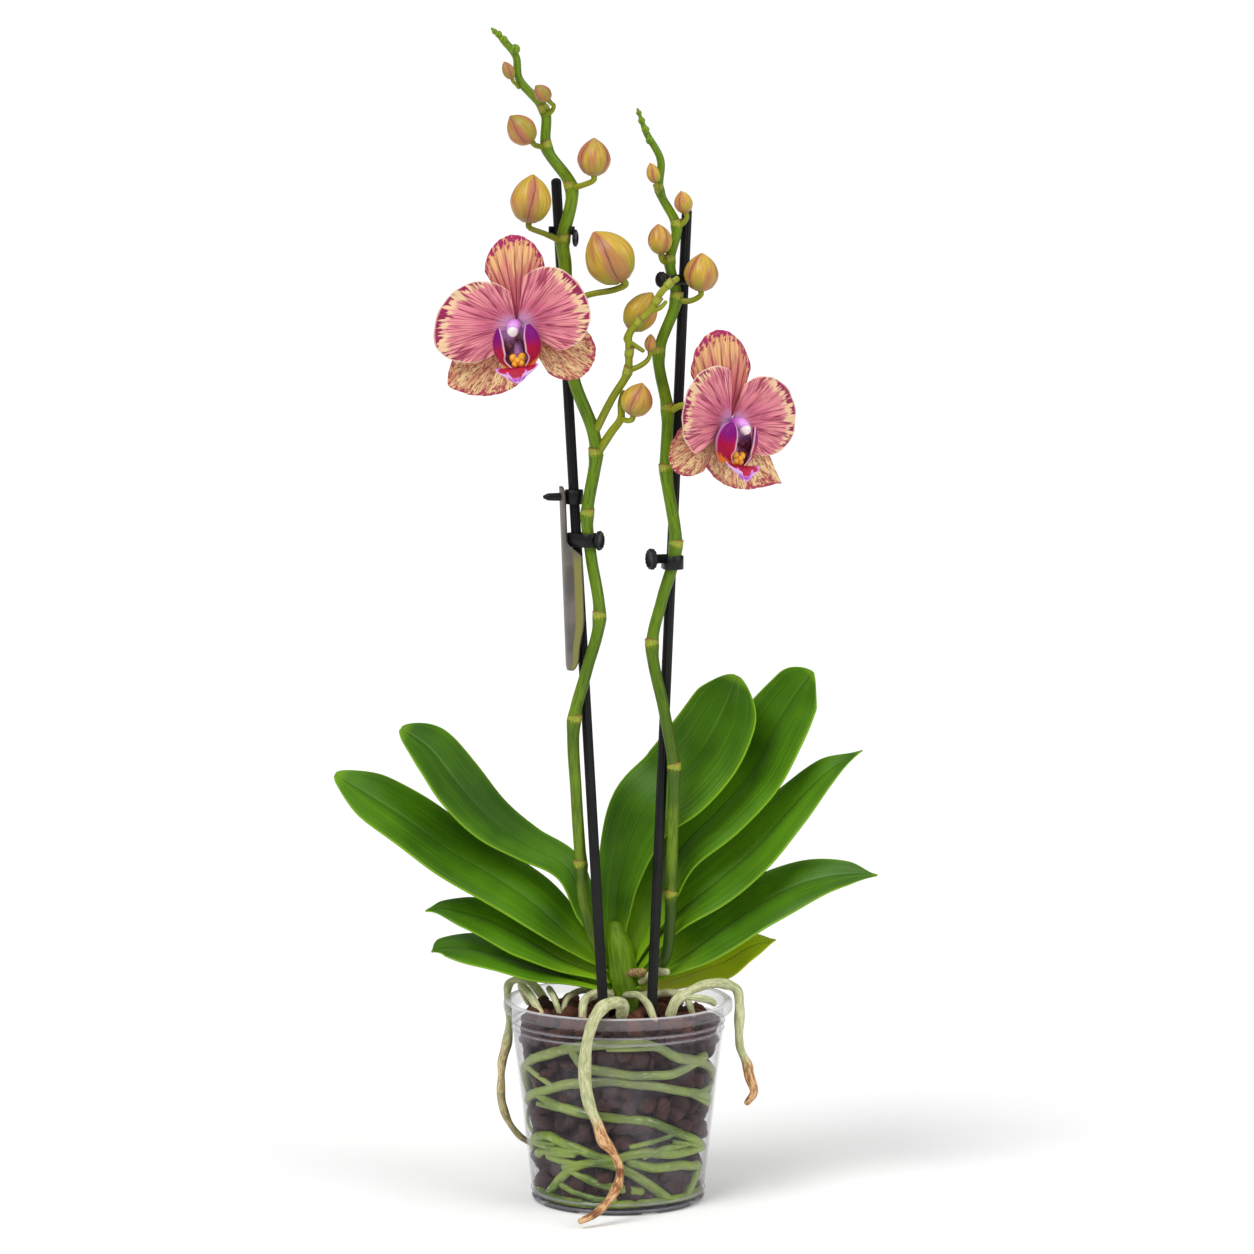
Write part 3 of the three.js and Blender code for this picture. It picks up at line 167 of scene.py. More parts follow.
# %% Skins
class Skin:
    """The points, faces, grain and finishes of one piece, gathered from its parts."""

    def __init__(self):
        self.points, self.grain, self.faces, self.finish = [], [], [], []

    def count(self):
        return sum(len(block) for block in self.points)

    def grid(self, points, grain, ring=False, caps=False, finish=0):
        """A grid of points, rows by columns. A ring joins its last column to its first."""
        rows, columns = points.shape[:2]
        first = self.count()
        self.points.append(points.reshape(-1, 3))
        self.grain.append(np.broadcast_to(grain, points.shape).reshape(-1, 3))
        reach = columns if ring else columns - 1
        for i in range(rows - 1):
            for j in range(reach):
                k = (j + 1) % columns
                a, b = first + i * columns + j, first + i * columns + k
                self.faces.append((a, b, b + columns, a + columns))
                self.finish.append(finish)
        if caps:
            top = first + (rows - 1) * columns
            self.faces.append(tuple(first + j for j in reversed(range(columns))))
            self.faces.append(tuple(top + j for j in range(columns)))
            self.finish += [finish, finish]

    def blade(self, middle, above, below, grain, finish=0, faces=(1, -1)):
        """A thin blade round a sheet of middle points, above and below it by so much."""
        normal = np.cross(np.gradient(middle, axis=0), np.gradient(middle, axis=1))
        normal /= np.maximum(np.linalg.norm(normal, axis=2, keepdims=True), 1e-9)
        upper = middle + normal * above[..., None]
        lower = middle - normal * below[..., None]
        rows, columns = middle.shape[:2]
        first = self.count()
        for side, face in ((upper, faces[0]), (lower, faces[1])):
            marks = grain.copy()
            marks[..., 2] = face * np.maximum(grain[..., 2], 1e-6)
            self.points.append(side.reshape(-1, 3))
            self.grain.append(marks.reshape(-1, 3))
        lift = rows * columns
        for i in range(rows - 1):
            for j in range(columns - 1):
                a = first + i * columns + j
                ring = (a, a + columns, a + columns + 1, a + 1)
                self.faces.append(ring)
                self.faces.append(tuple(p + lift for p in reversed(ring)))
        edge = [i * columns for i in range(rows - 1)]
        edge += [(rows - 1) * columns + j for j in range(columns - 1)]
        edge += [i * columns + columns - 1 for i in range(rows - 1, 0, -1)]
        edge += list(range(columns - 1, 0, -1))
        for k, p in enumerate(edge):
            q = edge[(k + 1) % len(edge)]
            self.faces.append((first + p, first + p + lift, first + q + lift, first + q))
        self.finish += [finish] * (2 * (rows - 1) * (columns - 1) + len(edge))

    def sheet(self, rows, columns, point, thickness, finish=0, faces=(1, -1)):
        """A blade of even thickness. point(rise, share) gives a point of it and its grain."""
        middle, grain = np.zeros((rows, columns, 3)), np.zeros((rows, columns, 3))
        for i in range(rows):
            for j in range(columns):
                middle[i, j], grain[i, j] = point(i / (rows - 1), j / (columns - 1))
        half = np.full((rows, columns), thickness / 2)
        self.blade(middle, half, half, grain, finish, faces)

    def place(self, turn, shift):
        """Turns and moves all that the skin holds so far."""
        self.points = [block @ turn.T + shift for block in self.points]


print("an empty skin has", Skin().count(), "points")

# %% From a skin to an object
def make(name, skin, finishes, nodes, slot):
    """The Blender object of a skin. It stands for the named solids and rides on the plant."""
    mesh = bpy.data.meshes.new(name)
    mesh.from_pydata((np.concatenate(skin.points) * MM).tolist(), [], skin.faces)
    grain = mesh.attributes.new("grain", "FLOAT_VECTOR", "POINT")
    grain.data.foreach_set("vector", np.concatenate(skin.grain).astype(np.float32).ravel())
    for finish in finishes:
        mesh.materials.append(finish)
    mesh.polygons.foreach_set("material_index", skin.finish)
    mesh.polygons.foreach_set("use_smooth", [True] * len(mesh.polygons))
    mesh.update()
    piece = bpy.data.objects.new(name, mesh)
    bpy.context.collection.objects.link(piece)
    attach(piece, "root")
    if nodes:
        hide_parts(*nodes)
    return piece


print("a piece is made of", ", ".join(vars(Skin())))

# %% [markdown]
# ## Tubes
#
# A stem or a root is a chain of [x, y, z, radius] points. The tube keeps its rings square to the
# line and carries the same side forward from ring to ring, which stops it from twisting. Its ends
# are rounded off. A swell can thicken it here and there, as the joints of a stem do.

# %% Tubes
END_ROUNDING = (0.995, 0.86, 0.55, 0.12)  # how wide the last rings are, as a share of the end


def tube(skin, chain, sides=14, steps=6, swell=None, finish=0, seed=0.0):
    """A round tube along a chain. swell(station, turns) gives how far it stands out there."""
    chain = np.array(chain, float)
    line, radii = chain[:, :3], chain[:, 3]
    last = len(chain) - 1
    stations = np.arange(last * steps + 1) / steps
    turns = turns_round(sides)
    side, rings, travelled, before = None, [], [], None
    for station in stations:
        centre, ahead = line_point(line, station / last), line_direction(line, station / last)
        if side is None:
            side = np.array([1.0, 0, 0]) if abs(ahead[0]) < 0.8 else np.array([0, 0, 1.0])
        side = square_to(ahead, side)
        k = min(int(station), last - 1)
        radius = lerp(radii[k], radii[k + 1], station - k) + np.zeros(sides)
        if swell:
            radius = radius + swell(station, turns)
        rings.append((centre, ahead, side, radius))
        way = 0.0 if before is None else travelled[-1] + np.linalg.norm(centre - before)
        travelled.append(way)
        before = centre
    rounded = []
    for ring, sign in ((rings[0], -1), (rings[-1], 1)):
        centre, ahead, side, radius = ring
        ends = [(centre + ahead * sign * radius.mean() * math.sqrt(1 - share * share) * 0.8,
                 ahead, side, radius * share) for share in END_ROUNDING]
        rounded.append(ends[::-1] if sign < 0 else ends)
    rings = rounded[0] + rings + rounded[1]
    travelled = [0.0] * len(END_ROUNDING) + travelled + [travelled[-1]] * len(END_ROUNDING)
    points, grain = [], []
    for (centre, ahead, side, radius), way in zip(rings, travelled):
        points.append(centre + radius[:, None] * spokes(side, np.cross(ahead, side), turns))
        marks = [np.full(sides, way / 10 + seed), np.cos(turns), np.sin(turns)]
        grain.append(np.stack(marks, axis=1))
    skin.grid(np.array(points), np.array(grain), ring=True, caps=True, finish=finish)


trial = Skin()
tube(trial, [(0, 0, 0, 1), (0, 0, 10, 1)])
print("a short tube has", trial.count(), "points")

# %% Turned forms
def turned(skin, profile, heart, axis, sides=32, ribs=None, finish=0):
    """A turned form: (radius, height) points about an axis through heart."""
    axis = np.array(axis, float) / np.linalg.norm(axis)
    side = np.cross(axis, [0, 0, 1.0] if abs(axis[2]) < 0.8 else [1.0, 0, 0])
    side /= np.linalg.norm(side)
    turns = turns_round(sides)
    ways = spokes(side, np.cross(axis, side), turns)
    points, grain = [], []
    for radius, height in profile:
        reach = radius * (1 + (ribs(turns, radius) if ribs else 0 * turns))
        points.append(np.array(heart) + axis * height + reach[:, None] * ways)
        marks = [np.full(sides, height / 10), np.cos(turns), np.sin(turns)]
        grain.append(np.stack(marks, axis=1))
    skin.grid(np.array(points), np.array(grain), ring=True, caps=True, finish=finish)


trial = Skin()
turned(trial, [(1, 0), (1, 10)], (0, 0, 0), (0, 0, 1))
print("a turned rod has", trial.count(), "points")

# %% [markdown]
# ## Finishes
#
# A finish is mixed from noise, steps and colours, and never from a picture. The helper below adds
# one node per call and gives back its output, so a recipe reads like a list of layers. Colours
# are written as they look on a screen and are turned into light values here.

# %% Finish helper
def colour(code):
    """A screen colour such as "b04060" as the linear light that a shader wants."""
    parts = [int(code[k:k + 2], 16) / 255 for k in (0, 2, 4)]
    return [p / 12.92 if p <= 0.04045 else ((p + 0.055) / 1.055) ** 2.4 for p in parts] + [1.0]


class Finish:
    """A material in the making."""

    def __init__(self, name, **surface):
        self.material = bpy.data.materials.new(name)
        self.material.use_nodes = True
        self.tree = self.material.node_tree
        self.shader = self.tree.nodes["Principled BSDF"]
        for socket, value in surface.items():
            self.shader.inputs[socket.replace("_", " ")].default_value = value

    def feed(self, socket, value):
        if isinstance(value, bpy.types.NodeSocket):
            self.tree.links.new(value, socket)
        elif isinstance(value, str):
            socket.default_value = colour(value)
        else:
            socket.default_value = value

    def add(self, kind, feeds=None, **settings):
        node = self.tree.nodes.new("ShaderNode" + kind)
        for key, value in settings.items():
            setattr(node, key, value)
        for key, value in (feeds or {}).items():
            self.feed(node.inputs[key], value)
        return node

    def grain(self):
        read = self.add("Attribute", attribute_name="grain")
        split = self.add("SeparateXYZ", {"Vector": read.outputs["Vector"]})
        return [split.outputs[axis] for axis in "XYZ"]

    def place(self):
        return self.add("TexCoord").outputs["Object"]

    def height(self):
        return self.add("SeparateXYZ", {"Vector": self.place()}).outputs["Z"]

    def vector(self, x, y, z=0.0):
        return self.add("CombineXYZ", {"X": x, "Y": y, "Z": z}).outputs["Vector"]

    def stretched(self, a, by_a, b, by_b, c=0.0):
        """A place for a noise that is squeezed by so much along a and along b."""
        return self.vector(self.times(a, by_a), self.times(b, by_b), c)

    def sum(self, operation, a, b=0.0, c=0.0):
        node = self.add("Math", operation=operation)
        for socket, value in zip(node.inputs, (a, b, c)):
            self.feed(socket, value)
        return node.outputs["Value"]

    def times(self, a, b):
        return self.sum("MULTIPLY", a, b)

    def plus(self, a, b):
        return self.sum("ADD", a, b)

    def noise(self, vector, scale=1.0, detail=2.0, roughness=0.5):
        feeds = {"Vector": vector, "Scale": scale, "Detail": detail, "Roughness": roughness}
        return self.add("TexNoise", feeds).outputs[0]

    def cloud(self, scale, detail=2.0, roughness=0.5):
        """A noise that fills space, so it runs on from one part of a piece to the next."""
        return self.noise(self.place(), scale, detail, roughness)

    def step(self, value, low, high, start=0.0, end=1.0):
        """An easy step from start to end as value goes from low to high."""
        feeds = {"Value": value, "From Min": low, "From Max": high, "To Min": start, "To Max": end}
        return self.add("MapRange", feeds, interpolation_type="SMOOTHSTEP").outputs["Result"]

    def lines(self, vector, thin=0.06):
        """Fine lines where a noise crosses its middle: they wander, fork and join as veins do."""
        off = self.sum("ABSOLUTE", self.plus(self.noise(vector, 1.0, 1.0), -0.5))
        return self.step(off, 0.0, thin, 1.0, 0.0)

    def mix(self, share, low, high):
        node = self.add("Mix", data_type="RGBA")
        for place, value in zip((0, 6, 7), (share, low, high)):
            self.feed(node.inputs[place], value)
        return node.outputs[2]

    def tinted(self, base, tint, value, low, high, most=1.0):
        """A tint laid over the base where the value is high, and at most so strong."""
        return self.mix(self.step(value, low, high, 0.0, most), base, tint)

    def translucent(self, depth_mm, tint=None):
        """How deep light creeps under the surface, and how far each of its colours goes."""
        self.shader.inputs["Subsurface Scale"].default_value = depth_mm * MM
        if tint:
            self.shader.inputs["Subsurface Radius"].default_value = tint

    def bump(self, height, depth_mm):
        node = self.add("Bump", {"Height": height, "Distance": depth_mm * MM, "Strength": 1.0})
        self.feed(self.shader.inputs["Normal"], node.outputs["Normal"])

    def done(self, base, wear=None, least=0.5, most=0.5, until=0.7):
        """The finished material. Its roughness goes from least to most as the wear grows."""
        self.feed(self.shader.inputs["Base Color"], base)
        if wear is not None:
            self.feed(self.shader.inputs["Roughness"], self.step(wear, 0.3, until, least, most))
        print("finish:", self.material.name, "of", len(self.tree.nodes), "nodes")
        return self.material


print("a middle grey is", round(colour("808080")[0], 3), "in light")

# %% [markdown]
# ## The clear pot
#
# Growers keep moth orchids in clear plastic so that light reaches the roots. The pot is one
# turned wall, 0.8 mm thick, with a rolled lip, two fine ribs and two stacking rings. A glass
# shader would bend the light and hide the roots, so the plastic is mostly see-through with a thin
# milky haze. The haze grows where the wall is seen edge-on, as it does on the real thing. The lip,
# the ribs and the rings are thicker, so they show as lighter or darker lines. A near-white band on
# the top edge of the lip is the thick rolled edge with a painted highlight on it, and a dark,
# nearly solid band round the foot is a painted contact shadow. A faint mist stands on the wall
# where the damp bark breathes on it.

# %% Pot sizes
POT_HEIGHT, POT_LIP_HEIGHT = 105.0, 7.0
POT_FOOT_RADIUS, POT_TOP_RADIUS, POT_LIP_RADIUS = 44.5, 56.0, 60.0
POT_WALL, POT_FLOOR = 0.8, 1.0
POT_RIBS, POT_FOOT_RINGS = (90.5, 94.0), (1.8, 5.4)
POT_WALL_LEVELS = (20.0, 40.0, 60.0, 80.0)
POT_FACETS = 160
print("pot:", POT_HEIGHT, "mm high and", 2 * POT_LIP_RADIUS, "mm across its lip")


# %% Pot finish
def pot_finish():
    f = Finish("clear milky plastic", IOR=1.46, Specular_IOR_Level=0.4)
    milk = f.cloud(45.0, 3.0)
    edge_on = f.add("LayerWeight", {"Blend": 0.42}).outputs["Facing"]
    haze = f.step(edge_on, 0.35, 1.0, 0.03, 0.36)
    lip = f.step(f.height(), 0.0975, 0.0995, 0.0, 0.13)
    beads = 0.0
    for level in (*POT_RIBS, *POT_FOOT_RINGS):
        off = f.sum("ABSOLUTE", f.plus(f.height(), -level * MM))
        beads = f.plus(f.step(off, 0.0004, 0.0008, 0.3, 0.0), beads)
    # Round the bottom 1.4 mm the wall turns nearly solid and dark: a painted contact shadow where
    # the pot stands.
    foot = f.step(f.height(), 0.0006, 0.0014, 0.9, 0.0)
    mist = f.step(f.cloud(28.0, 4.0, 0.6), 0.45, 0.72, 0.0, 0.09)
    # A near-white band along the top of the lip: the thick rolled edge, with a painted highlight
    # where light catches it.
    rim = f.step(f.height(), 0.1040, 0.1048, 0.0, 0.4)
    cover = f.plus(f.plus(f.plus(haze, lip), rim), f.plus(f.plus(beads, foot), mist))
    f.feed(f.shader.inputs["Alpha"], f.sum("MINIMUM", cover, 1.0))
    scuffs = f.noise(f.vector(*f.grain()), 30.0, 4.0)
    f.bump(f.cloud(60.0), 0.25)
    base = f.mix(f.times(lip, 3.5), f.mix(milk, "8f8a92", "bab6be"), "b5b1b4")
    # The painted highlight on the rim, then the painted contact shadow at the foot.
    base = f.mix(f.times(rim, 2.5), base, "dedce0")
    base = f.mix(f.times(foot, 1.1), base, "2b2927")
    return f.done(base, scuffs, 0.1, 0.22, until=0.8)


clear_plastic = pot_finish()

# %% Pot wall
def wall_radius(z):
    return lerp(POT_FOOT_RADIUS, POT_TOP_RADIUS, z / (POT_HEIGHT - POT_LIP_HEIGHT))


def bead_on_wall(z, half, proud):
    """A half-round bead that runs round the wall at height z."""
    turns = np.linspace(-math.pi / 2, math.pi / 2, 5)
    return [(wall_radius(z) + proud * math.cos(a), z + half * math.sin(a)) for a in turns]


def pot_profile():
    """From the middle of the underside out, up the wall, over the lip and back down inside."""
    outer = [(0.01, 0.0), (POT_FOOT_RADIUS - 2, 0.0), (POT_FOOT_RADIUS - 0.8, 0.1)]
    for z in POT_FOOT_RINGS:
        outer += bead_on_wall(z, 0.8, 0.7)
    outer += [(wall_radius(z), z) for z in POT_WALL_LEVELS]
    for z in POT_RIBS:
        outer += bead_on_wall(z, 0.7, 0.6)
    lip_foot = POT_HEIGHT - POT_LIP_HEIGHT
    outer += [(POT_TOP_RADIUS + 0.2, lip_foot), (POT_LIP_RADIUS - 1.6, lip_foot + 0.8)]
    outer += [(POT_LIP_RADIUS - 0.4, lip_foot + 1.6), (POT_LIP_RADIUS, lip_foot + 2.8)]
    outer += [(POT_LIP_RADIUS, POT_HEIGHT - 1.8), (POT_LIP_RADIUS - 0.4, POT_HEIGHT - 0.6)]
    outer += [(POT_LIP_RADIUS - 1.4, POT_HEIGHT), (POT_TOP_RADIUS + 0.8, POT_HEIGHT - 0.1)]
    outer += [(POT_TOP_RADIUS - 0.4, POT_HEIGHT - 0.6)]
    outer += [(POT_TOP_RADIUS - POT_WALL, POT_HEIGHT - 1.8)]
    levels = (lip_foot, *reversed(POT_WALL_LEVELS), POT_FLOOR + 1)
    inner = [(wall_radius(z) - POT_WALL, z) for z in levels]
    return outer + inner + [(wall_radius(POT_FLOOR) - POT_WALL - 1, POT_FLOOR), (0.01, POT_FLOOR)]


print("pot wall: drawn through", len(pot_profile()), "points")

# %% [markdown]
# Water runs out through slots round the foot. They are cut after the turning, with a boolean, since
# a turned form can have no holes.

# %% Drain slots
DRAIN_SLOTS = 8
SLOT_SIZE = (4.5, 9.0, 4.4)  # through the wall, along it and up
SLOT_SET_BACK, SLOT_LEVEL = 2.6, 0.6  # where its middle lies, inwards of the foot and up


def drain_cutter():
    """Eight blocks that cut the slots where water runs out, round the foot."""
    skin = Skin()
    x, y, z = (size / 2 for size in SLOT_SIZE)
    ring = np.array([(-x, -y), (x, -y), (x, y), (-x, y)]) + [POT_FOOT_RADIUS - SLOT_SET_BACK, 0]
    for k in range(DRAIN_SLOTS):
        flat = ring @ about_z((k + 0.5) * 2 * math.pi / DRAIN_SLOTS)[:2, :2].T
        block = [np.column_stack([flat, np.full(4, level)])
                 for level in (SLOT_LEVEL - z, SLOT_LEVEL + z)]
        skin.grid(np.array(block), np.zeros(3), ring=True, caps=True)
    mesh = bpy.data.meshes.new("cutter")
    mesh.from_pydata((np.concatenate(skin.points) * MM).tolist(), [], skin.faces)
    return bpy.data.objects.new("cutter", mesh)


skin = Skin()
turned(skin, pot_profile(), (0, 0, 0), (0, 0, 1), POT_FACETS)
pot = make("clear_pot", skin, [clear_plastic], ["pot"], "clear_pot")
cutter = drain_cutter()
bpy.context.collection.objects.link(cutter)
cut = pot.modifiers.new("drain slots", "BOOLEAN")
cut.operation, cut.object, cut.solver = "DIFFERENCE", cutter, "EXACT"
cut_pot = pot.evaluated_get(bpy.context.evaluated_depsgraph_get())
slotted = bpy.data.meshes.new_from_object(cut_pot)
pot.modifiers.clear()
pot.data = slotted
bpy.data.objects.remove(cutter)
print("pot:", len(slotted.polygons), "faces,", DRAIN_SLOTS, "slots cut")

# %% [markdown]
# ## Bark
#
# Orchid bark is a mix of broken lumps, each with a few flat faces and worn corners. One displaced
# surface would look like soil, so every lump is its own small block, bent out of true. A dark core
# fills the middle, the lumps are sunk into its side and its top, and a seeded draw keeps them the
# same in each run.

# %% Bark finish
def bark_finish():
    f = Finish("broken bark", Specular_IOR_Level=0.25)
    along, across, seed = f.grain()
    each = f.noise(f.vector(seed, seed, seed), 3.1, 0.0)
    grit = f.cloud(900.0, 4.0, 0.7)
    fibre = f.noise(f.stretched(along, 1.5, across, 9.0, seed), 1.0, 3.0)
    base = f.mix(f.step(each, 0.35, 0.65), "2c1813", "603627")
    base = f.tinted(base, "7e4c37", fibre, 0.35, 0.7, 0.55)
    base = f.tinted(base, "241310", grit, 0.5, 0.75, 0.5)
    # Lumps below the top layer are darkened towards a purple grey: painted shade inside the pot,
    # with only the top of the bark left bright as if lit.
    sunlit = f.step(f.height(), 0.090, 0.099)
    base = f.mix(f.times(f.sum("SUBTRACT", 1.0, sunlit), 0.62), base, "382a2f")
    f.bump(f.plus(grit, f.times(fibre, 0.8)), 0.9)
    return f.done(base, grit, 0.7, 0.95, until=0.8)


broken_bark = bark_finish()

# %% [markdown]
# The roots at the wall were pressed flat against it while they grew, so each is given as degrees
# round from the front and a height. They come before the bark, because the lumps near the wall
# leave room for them.

# %% Where the roots run
WALL_ROOT_RADIUS = 2.5
WALL_ROOTS = [
    [(-105, 47), (-90, 66), (-60, 78), (-30, 87), (-12, 90), (12, 91), (24, 88), (36, 82), (60, 76),
     (90, 66), (102, 49)],
    [(-180, 20), (-160, 22), (-130, 36), (-105, 46), (-75, 56), (-49, 63), (-32, 68), (-5, 71),
     (21, 68), (66, 58), (95, 50), (122, 53), (150, 43), (176, 22)],
    [(-62, 60), (-45, 56), (-20, 53), (1, 51), (20, 49), (45, 40), (72, 31)],
    [(-135, 6), (-100, 22), (-75, 33), (-52, 38), (-28, 34), (-5, 29), (15, 33), (40, 30), (70, 29),
     (95, 26), (130, 15), (150, 5)],
    [(-60, 6), (-38, 20), (-19, 27), (1, 25), (22, 15), (38, 6)],
    [(60, 6), (76, 18), (48, 23), (24, 24), (8, 28)],
    [(-28, 87), (-20, 78), (8, 74), (34, 73), (62, 79)],
    [(110, 68), (140, 78), (176, 70), (-150, 74), (-118, 60), (-104, 48)],
]


def short_turn(start, end):
    """The degrees from one heading to another, the short way round."""
    return (end - start + 540) % 360 - 180


def track(root):
    """The way of a root along the wall, as many close [degrees, height] points."""
    marks = []
    for (a0, z0), (a1, z1) in zip(root, root[1:]):
        turn = short_turn(a0, a1)
        marks += [(a0 + turn * w, lerp(z0, z1, w)) for w in np.linspace(0, 1, 12)]
    return marks


ROOT_TRACKS = np.array([mark for root in WALL_ROOTS for mark in track(root)])
print("root tracks:", len(ROOT_TRACKS), "points")

# %% One lump of bark
LUMP_ROWS, LUMP_COLUMNS = 7, 12
LUMP_SIDES = ((0.75, 1.2), (0.6, 1.0), (0.45, 0.8))  # the shares of its size that a side may have
LUMP_BOXINESS = 0.62  # 0 is a ball and 1 is a cube
LUMP_CUTS = 4


def spin_matrix(draw):
    """A free turn about all three axes."""
    a, b, c = (draw.uniform(0, 2 * math.pi) for _ in range(3))
    return about_z(a) @ about_x(b) @ about_z(c)


def polar(reach, turn, z):
    return np.array([reach * math.cos(turn), reach * math.sin(turn), z])


def random_cut(draw):
    """A way out of the lump, and how far along it the lump is cut off."""
    way = np.array([draw.uniform(-1, 1) for _ in range(3)])
    return way / np.linalg.norm(way), draw.uniform(0.5, 0.9)


def lump(skin, draw, centre, size, seed):
    """A block with bent sides and worn corners: a coarse ball pushed towards a cube."""
    half = np.array([draw.uniform(*shares) for shares in LUMP_SIDES]) * size / 2
    cuts = [random_cut(draw) for _ in range(LUMP_CUTS)]
    spin = spin_matrix(draw)
    points, grain = [], []
    for i in range(LUMP_ROWS):
        rise = math.pi * (i + 0.5) / LUMP_ROWS
        ring = np.array([polar(math.sin(rise), turn, math.cos(rise))
                         for turn in turns_round(LUMP_COLUMNS)])
        boxy = ring / np.max(np.abs(ring), axis=1, keepdims=True)
        shaped = lerp(ring, boxy, LUMP_BOXINESS)
        for way, limit in cuts:
            past = np.maximum(shaped @ way - limit, 0)
            shaped = shaped - past[:, None] * way
        points.append((shaped * half) @ spin.T + centre)
        grain.append(np.column_stack([shaped[:, 0], shaped[:, 1], np.full(LUMP_COLUMNS, seed)]))
    skin.grid(np.array(points)[::-1], np.array(grain)[::-1], ring=True, caps=True)


print("one lump:", LUMP_ROWS * LUMP_COLUMNS, "points")

# %% [markdown]
# The lumps lie in three sets: rows round the side, small ones that fill the gaps at the wall, and
# loose ones on top. The small ones and the top ones are spread by the golden turn, which never
# lines them up. Lumps beside a root sink back, so the root lies in front of them as on the plant.

# %% Where the lumps lie
BARK_RIM_GAP = 7.5
BARK_LEVELS = np.arange(7.0, 93.0, 6.4)
GAP_LUMPS, TOP_LUMPS = 680, 120
TOP_REACH = 46.5
GOLDEN_TURN, GOLDEN_SHARE = 2.39996, 0.6180339887
ROOT_CLEARANCE = (3.2, 5.4)  # mm; lumps nearer than the first sink back, the others less


def bark_radius(z):
    return wall_radius(z) - BARK_RIM_GAP - POT_WALL


def room_for_roots(degrees, z):
    """0 beside a root that runs along the wall, and 1 well away from all of them."""
    along = np.abs(short_turn(degrees, ROOT_TRACKS[:, 0])) * DEG * wall_radius(z)
    return float(smooth(np.hypot(along, ROOT_TRACKS[:, 1] - z).min(), *ROOT_CLEARANCE))


def rows_at_side(draw):
    for level in BARK_LEVELS:
        around = int(2 * math.pi * bark_radius(level) / 8.6)
        for k in range(around):
            turn = (k + draw.uniform(-0.25, 0.25)) * 2 * math.pi / around + level
            size = draw.uniform(8.5, 13.0)
            z = max(level + draw.uniform(-1.8, 1.8), size * 0.6 + 1.4)
            out = room_for_roots(turn / DEG + 90, z)
            sunk = bark_radius(z) - size * lerp(0.42, 0.32, out)
            yield polar(sunk + out * 5.2 + draw.uniform(-1.4, 0.4), turn, z), size


def gap_fillers(draw):
    for k in range(GAP_LUMPS):
        turn, z = k * GOLDEN_TURN, lerp(6.0, 94.0, (k * GOLDEN_SHARE) % 1)
        size = draw.uniform(4.5, 7.5)
        out = room_for_roots(turn / DEG + 90, z)
        yield polar(wall_radius(z) - size * 0.6 - lerp(6.2, 1.5, out), turn, z), size


def loose_on_top(draw):
    for k in range(TOP_LUMPS):
        reach = TOP_REACH * math.sqrt((k + 0.5) / TOP_LUMPS)
        turn = k * GOLDEN_TURN + draw.uniform(-0.2, 0.2)
        size = draw.uniform(6.0, 14.0)
        yield polar(reach, turn, draw.uniform(93.5, 99.0)), size


print("bark:", len(BARK_LEVELS), "rows at the side")

# %% Bark
BARK_CORE = [(0.01, 2.4), (34, 2.4), (bark_radius(5) - 4, 5), (bark_radius(60) - 4, 60),
             (bark_radius(92) - 4, 91), (36, 93.5), (0.01, 93.5)]
draw = Random(11)
skin = Skin()
turned(skin, BARK_CORE, (0, 0, 0), (0, 0, 1), 48)
lumps = 0
for lumps_in_place in (rows_at_side, gap_fillers, loose_on_top):
    for centre, size in lumps_in_place(draw):
        lump(skin, draw, centre, size, lumps * 1.7)
        lumps += 1
make("bark_lumps", skin, [broken_bark], ["bark_bed"], "bark")
print("bark:", lumps, "lumps")

# %% [markdown]
# ## Roots
#
# A moth orchid's root is a thin green cord in a spongy coat. Wet, against the pot's wall, the coat
# is see-through and the root looks green; dry, in the air, it is silver with a hint of green, and
# where it was hurt it dries to orange and brown. The roots are tubes along given chains, and a
# slow swell makes each a little knobbly.

# %% Root finishes
def root_in_pot_finish():
    f = Finish("green root")
    along, around, over = f.grain()
    streak = f.noise(f.vector(f.times(along, 1.3), around, over), 2.2, 3.0)
    patch = f.cloud(38.0, 3.0)
    base = f.mix(f.step(patch, 0.35, 0.62), "4e6a0c", "86a02a")
    base = f.tinted(base, "98a070", f.height(), 0.04, 0.075, 0.45)
    base = f.tinted(base, "b0b97a", streak, 0.52, 0.72, 0.7)
    f.bump(streak, 0.25)
    return f.done(base, patch, 0.3, 0.5)


def root_in_air_finish(name, drying, dry_from, dry_to):
    """Silver-green, drying to tan and brown between two heights, given in metres."""
    f = Finish(name)
    along, around, over = f.grain()
    streak = f.noise(f.vector(f.times(along, 0.9), around, over), 2.6, 4.0, 0.6)
    patch = f.cloud(120.0, 3.0, 0.6)
    silver = f.mix(f.step(streak, 0.3, 0.7), "9da36f", "d6d5a8")
    silver = f.tinted(silver, "808a4c", patch, 0.55, 0.75, 0.45)
    dry = f.mix(f.step(streak, 0.4, 0.6), "9c6026", "e0b684")
    dry = f.tinted(dry, "6b3a18", patch, 0.5, 0.64, 0.85)
    wander = f.plus(f.height(), f.times(f.plus(patch, -0.5), 0.012))
    base = f.mix(f.step(wander, dry_to, dry_from, drying, 0.0), silver, dry)
    f.bump(f.plus(f.times(streak, 0.6), patch), 0.45)
    return f.done(base, patch, 0.45, 0.7)


green_root = root_in_pot_finish()

# %% [markdown]
# At the wall a root's line is worked out from the turn and the height of its points. Long steps are
# divided, or the smooth line would cut across the round wall instead of keeping to it.

# %% Along the wall
WALL_STEP = 16  # about how many degrees lie between two points of a root's line


def at_wall(degrees, z, radius):
    reach = wall_radius(z) - POT_WALL - radius - 0.35
    return (reach * math.sin(degrees * DEG), -reach * math.cos(degrees * DEG), z, radius)


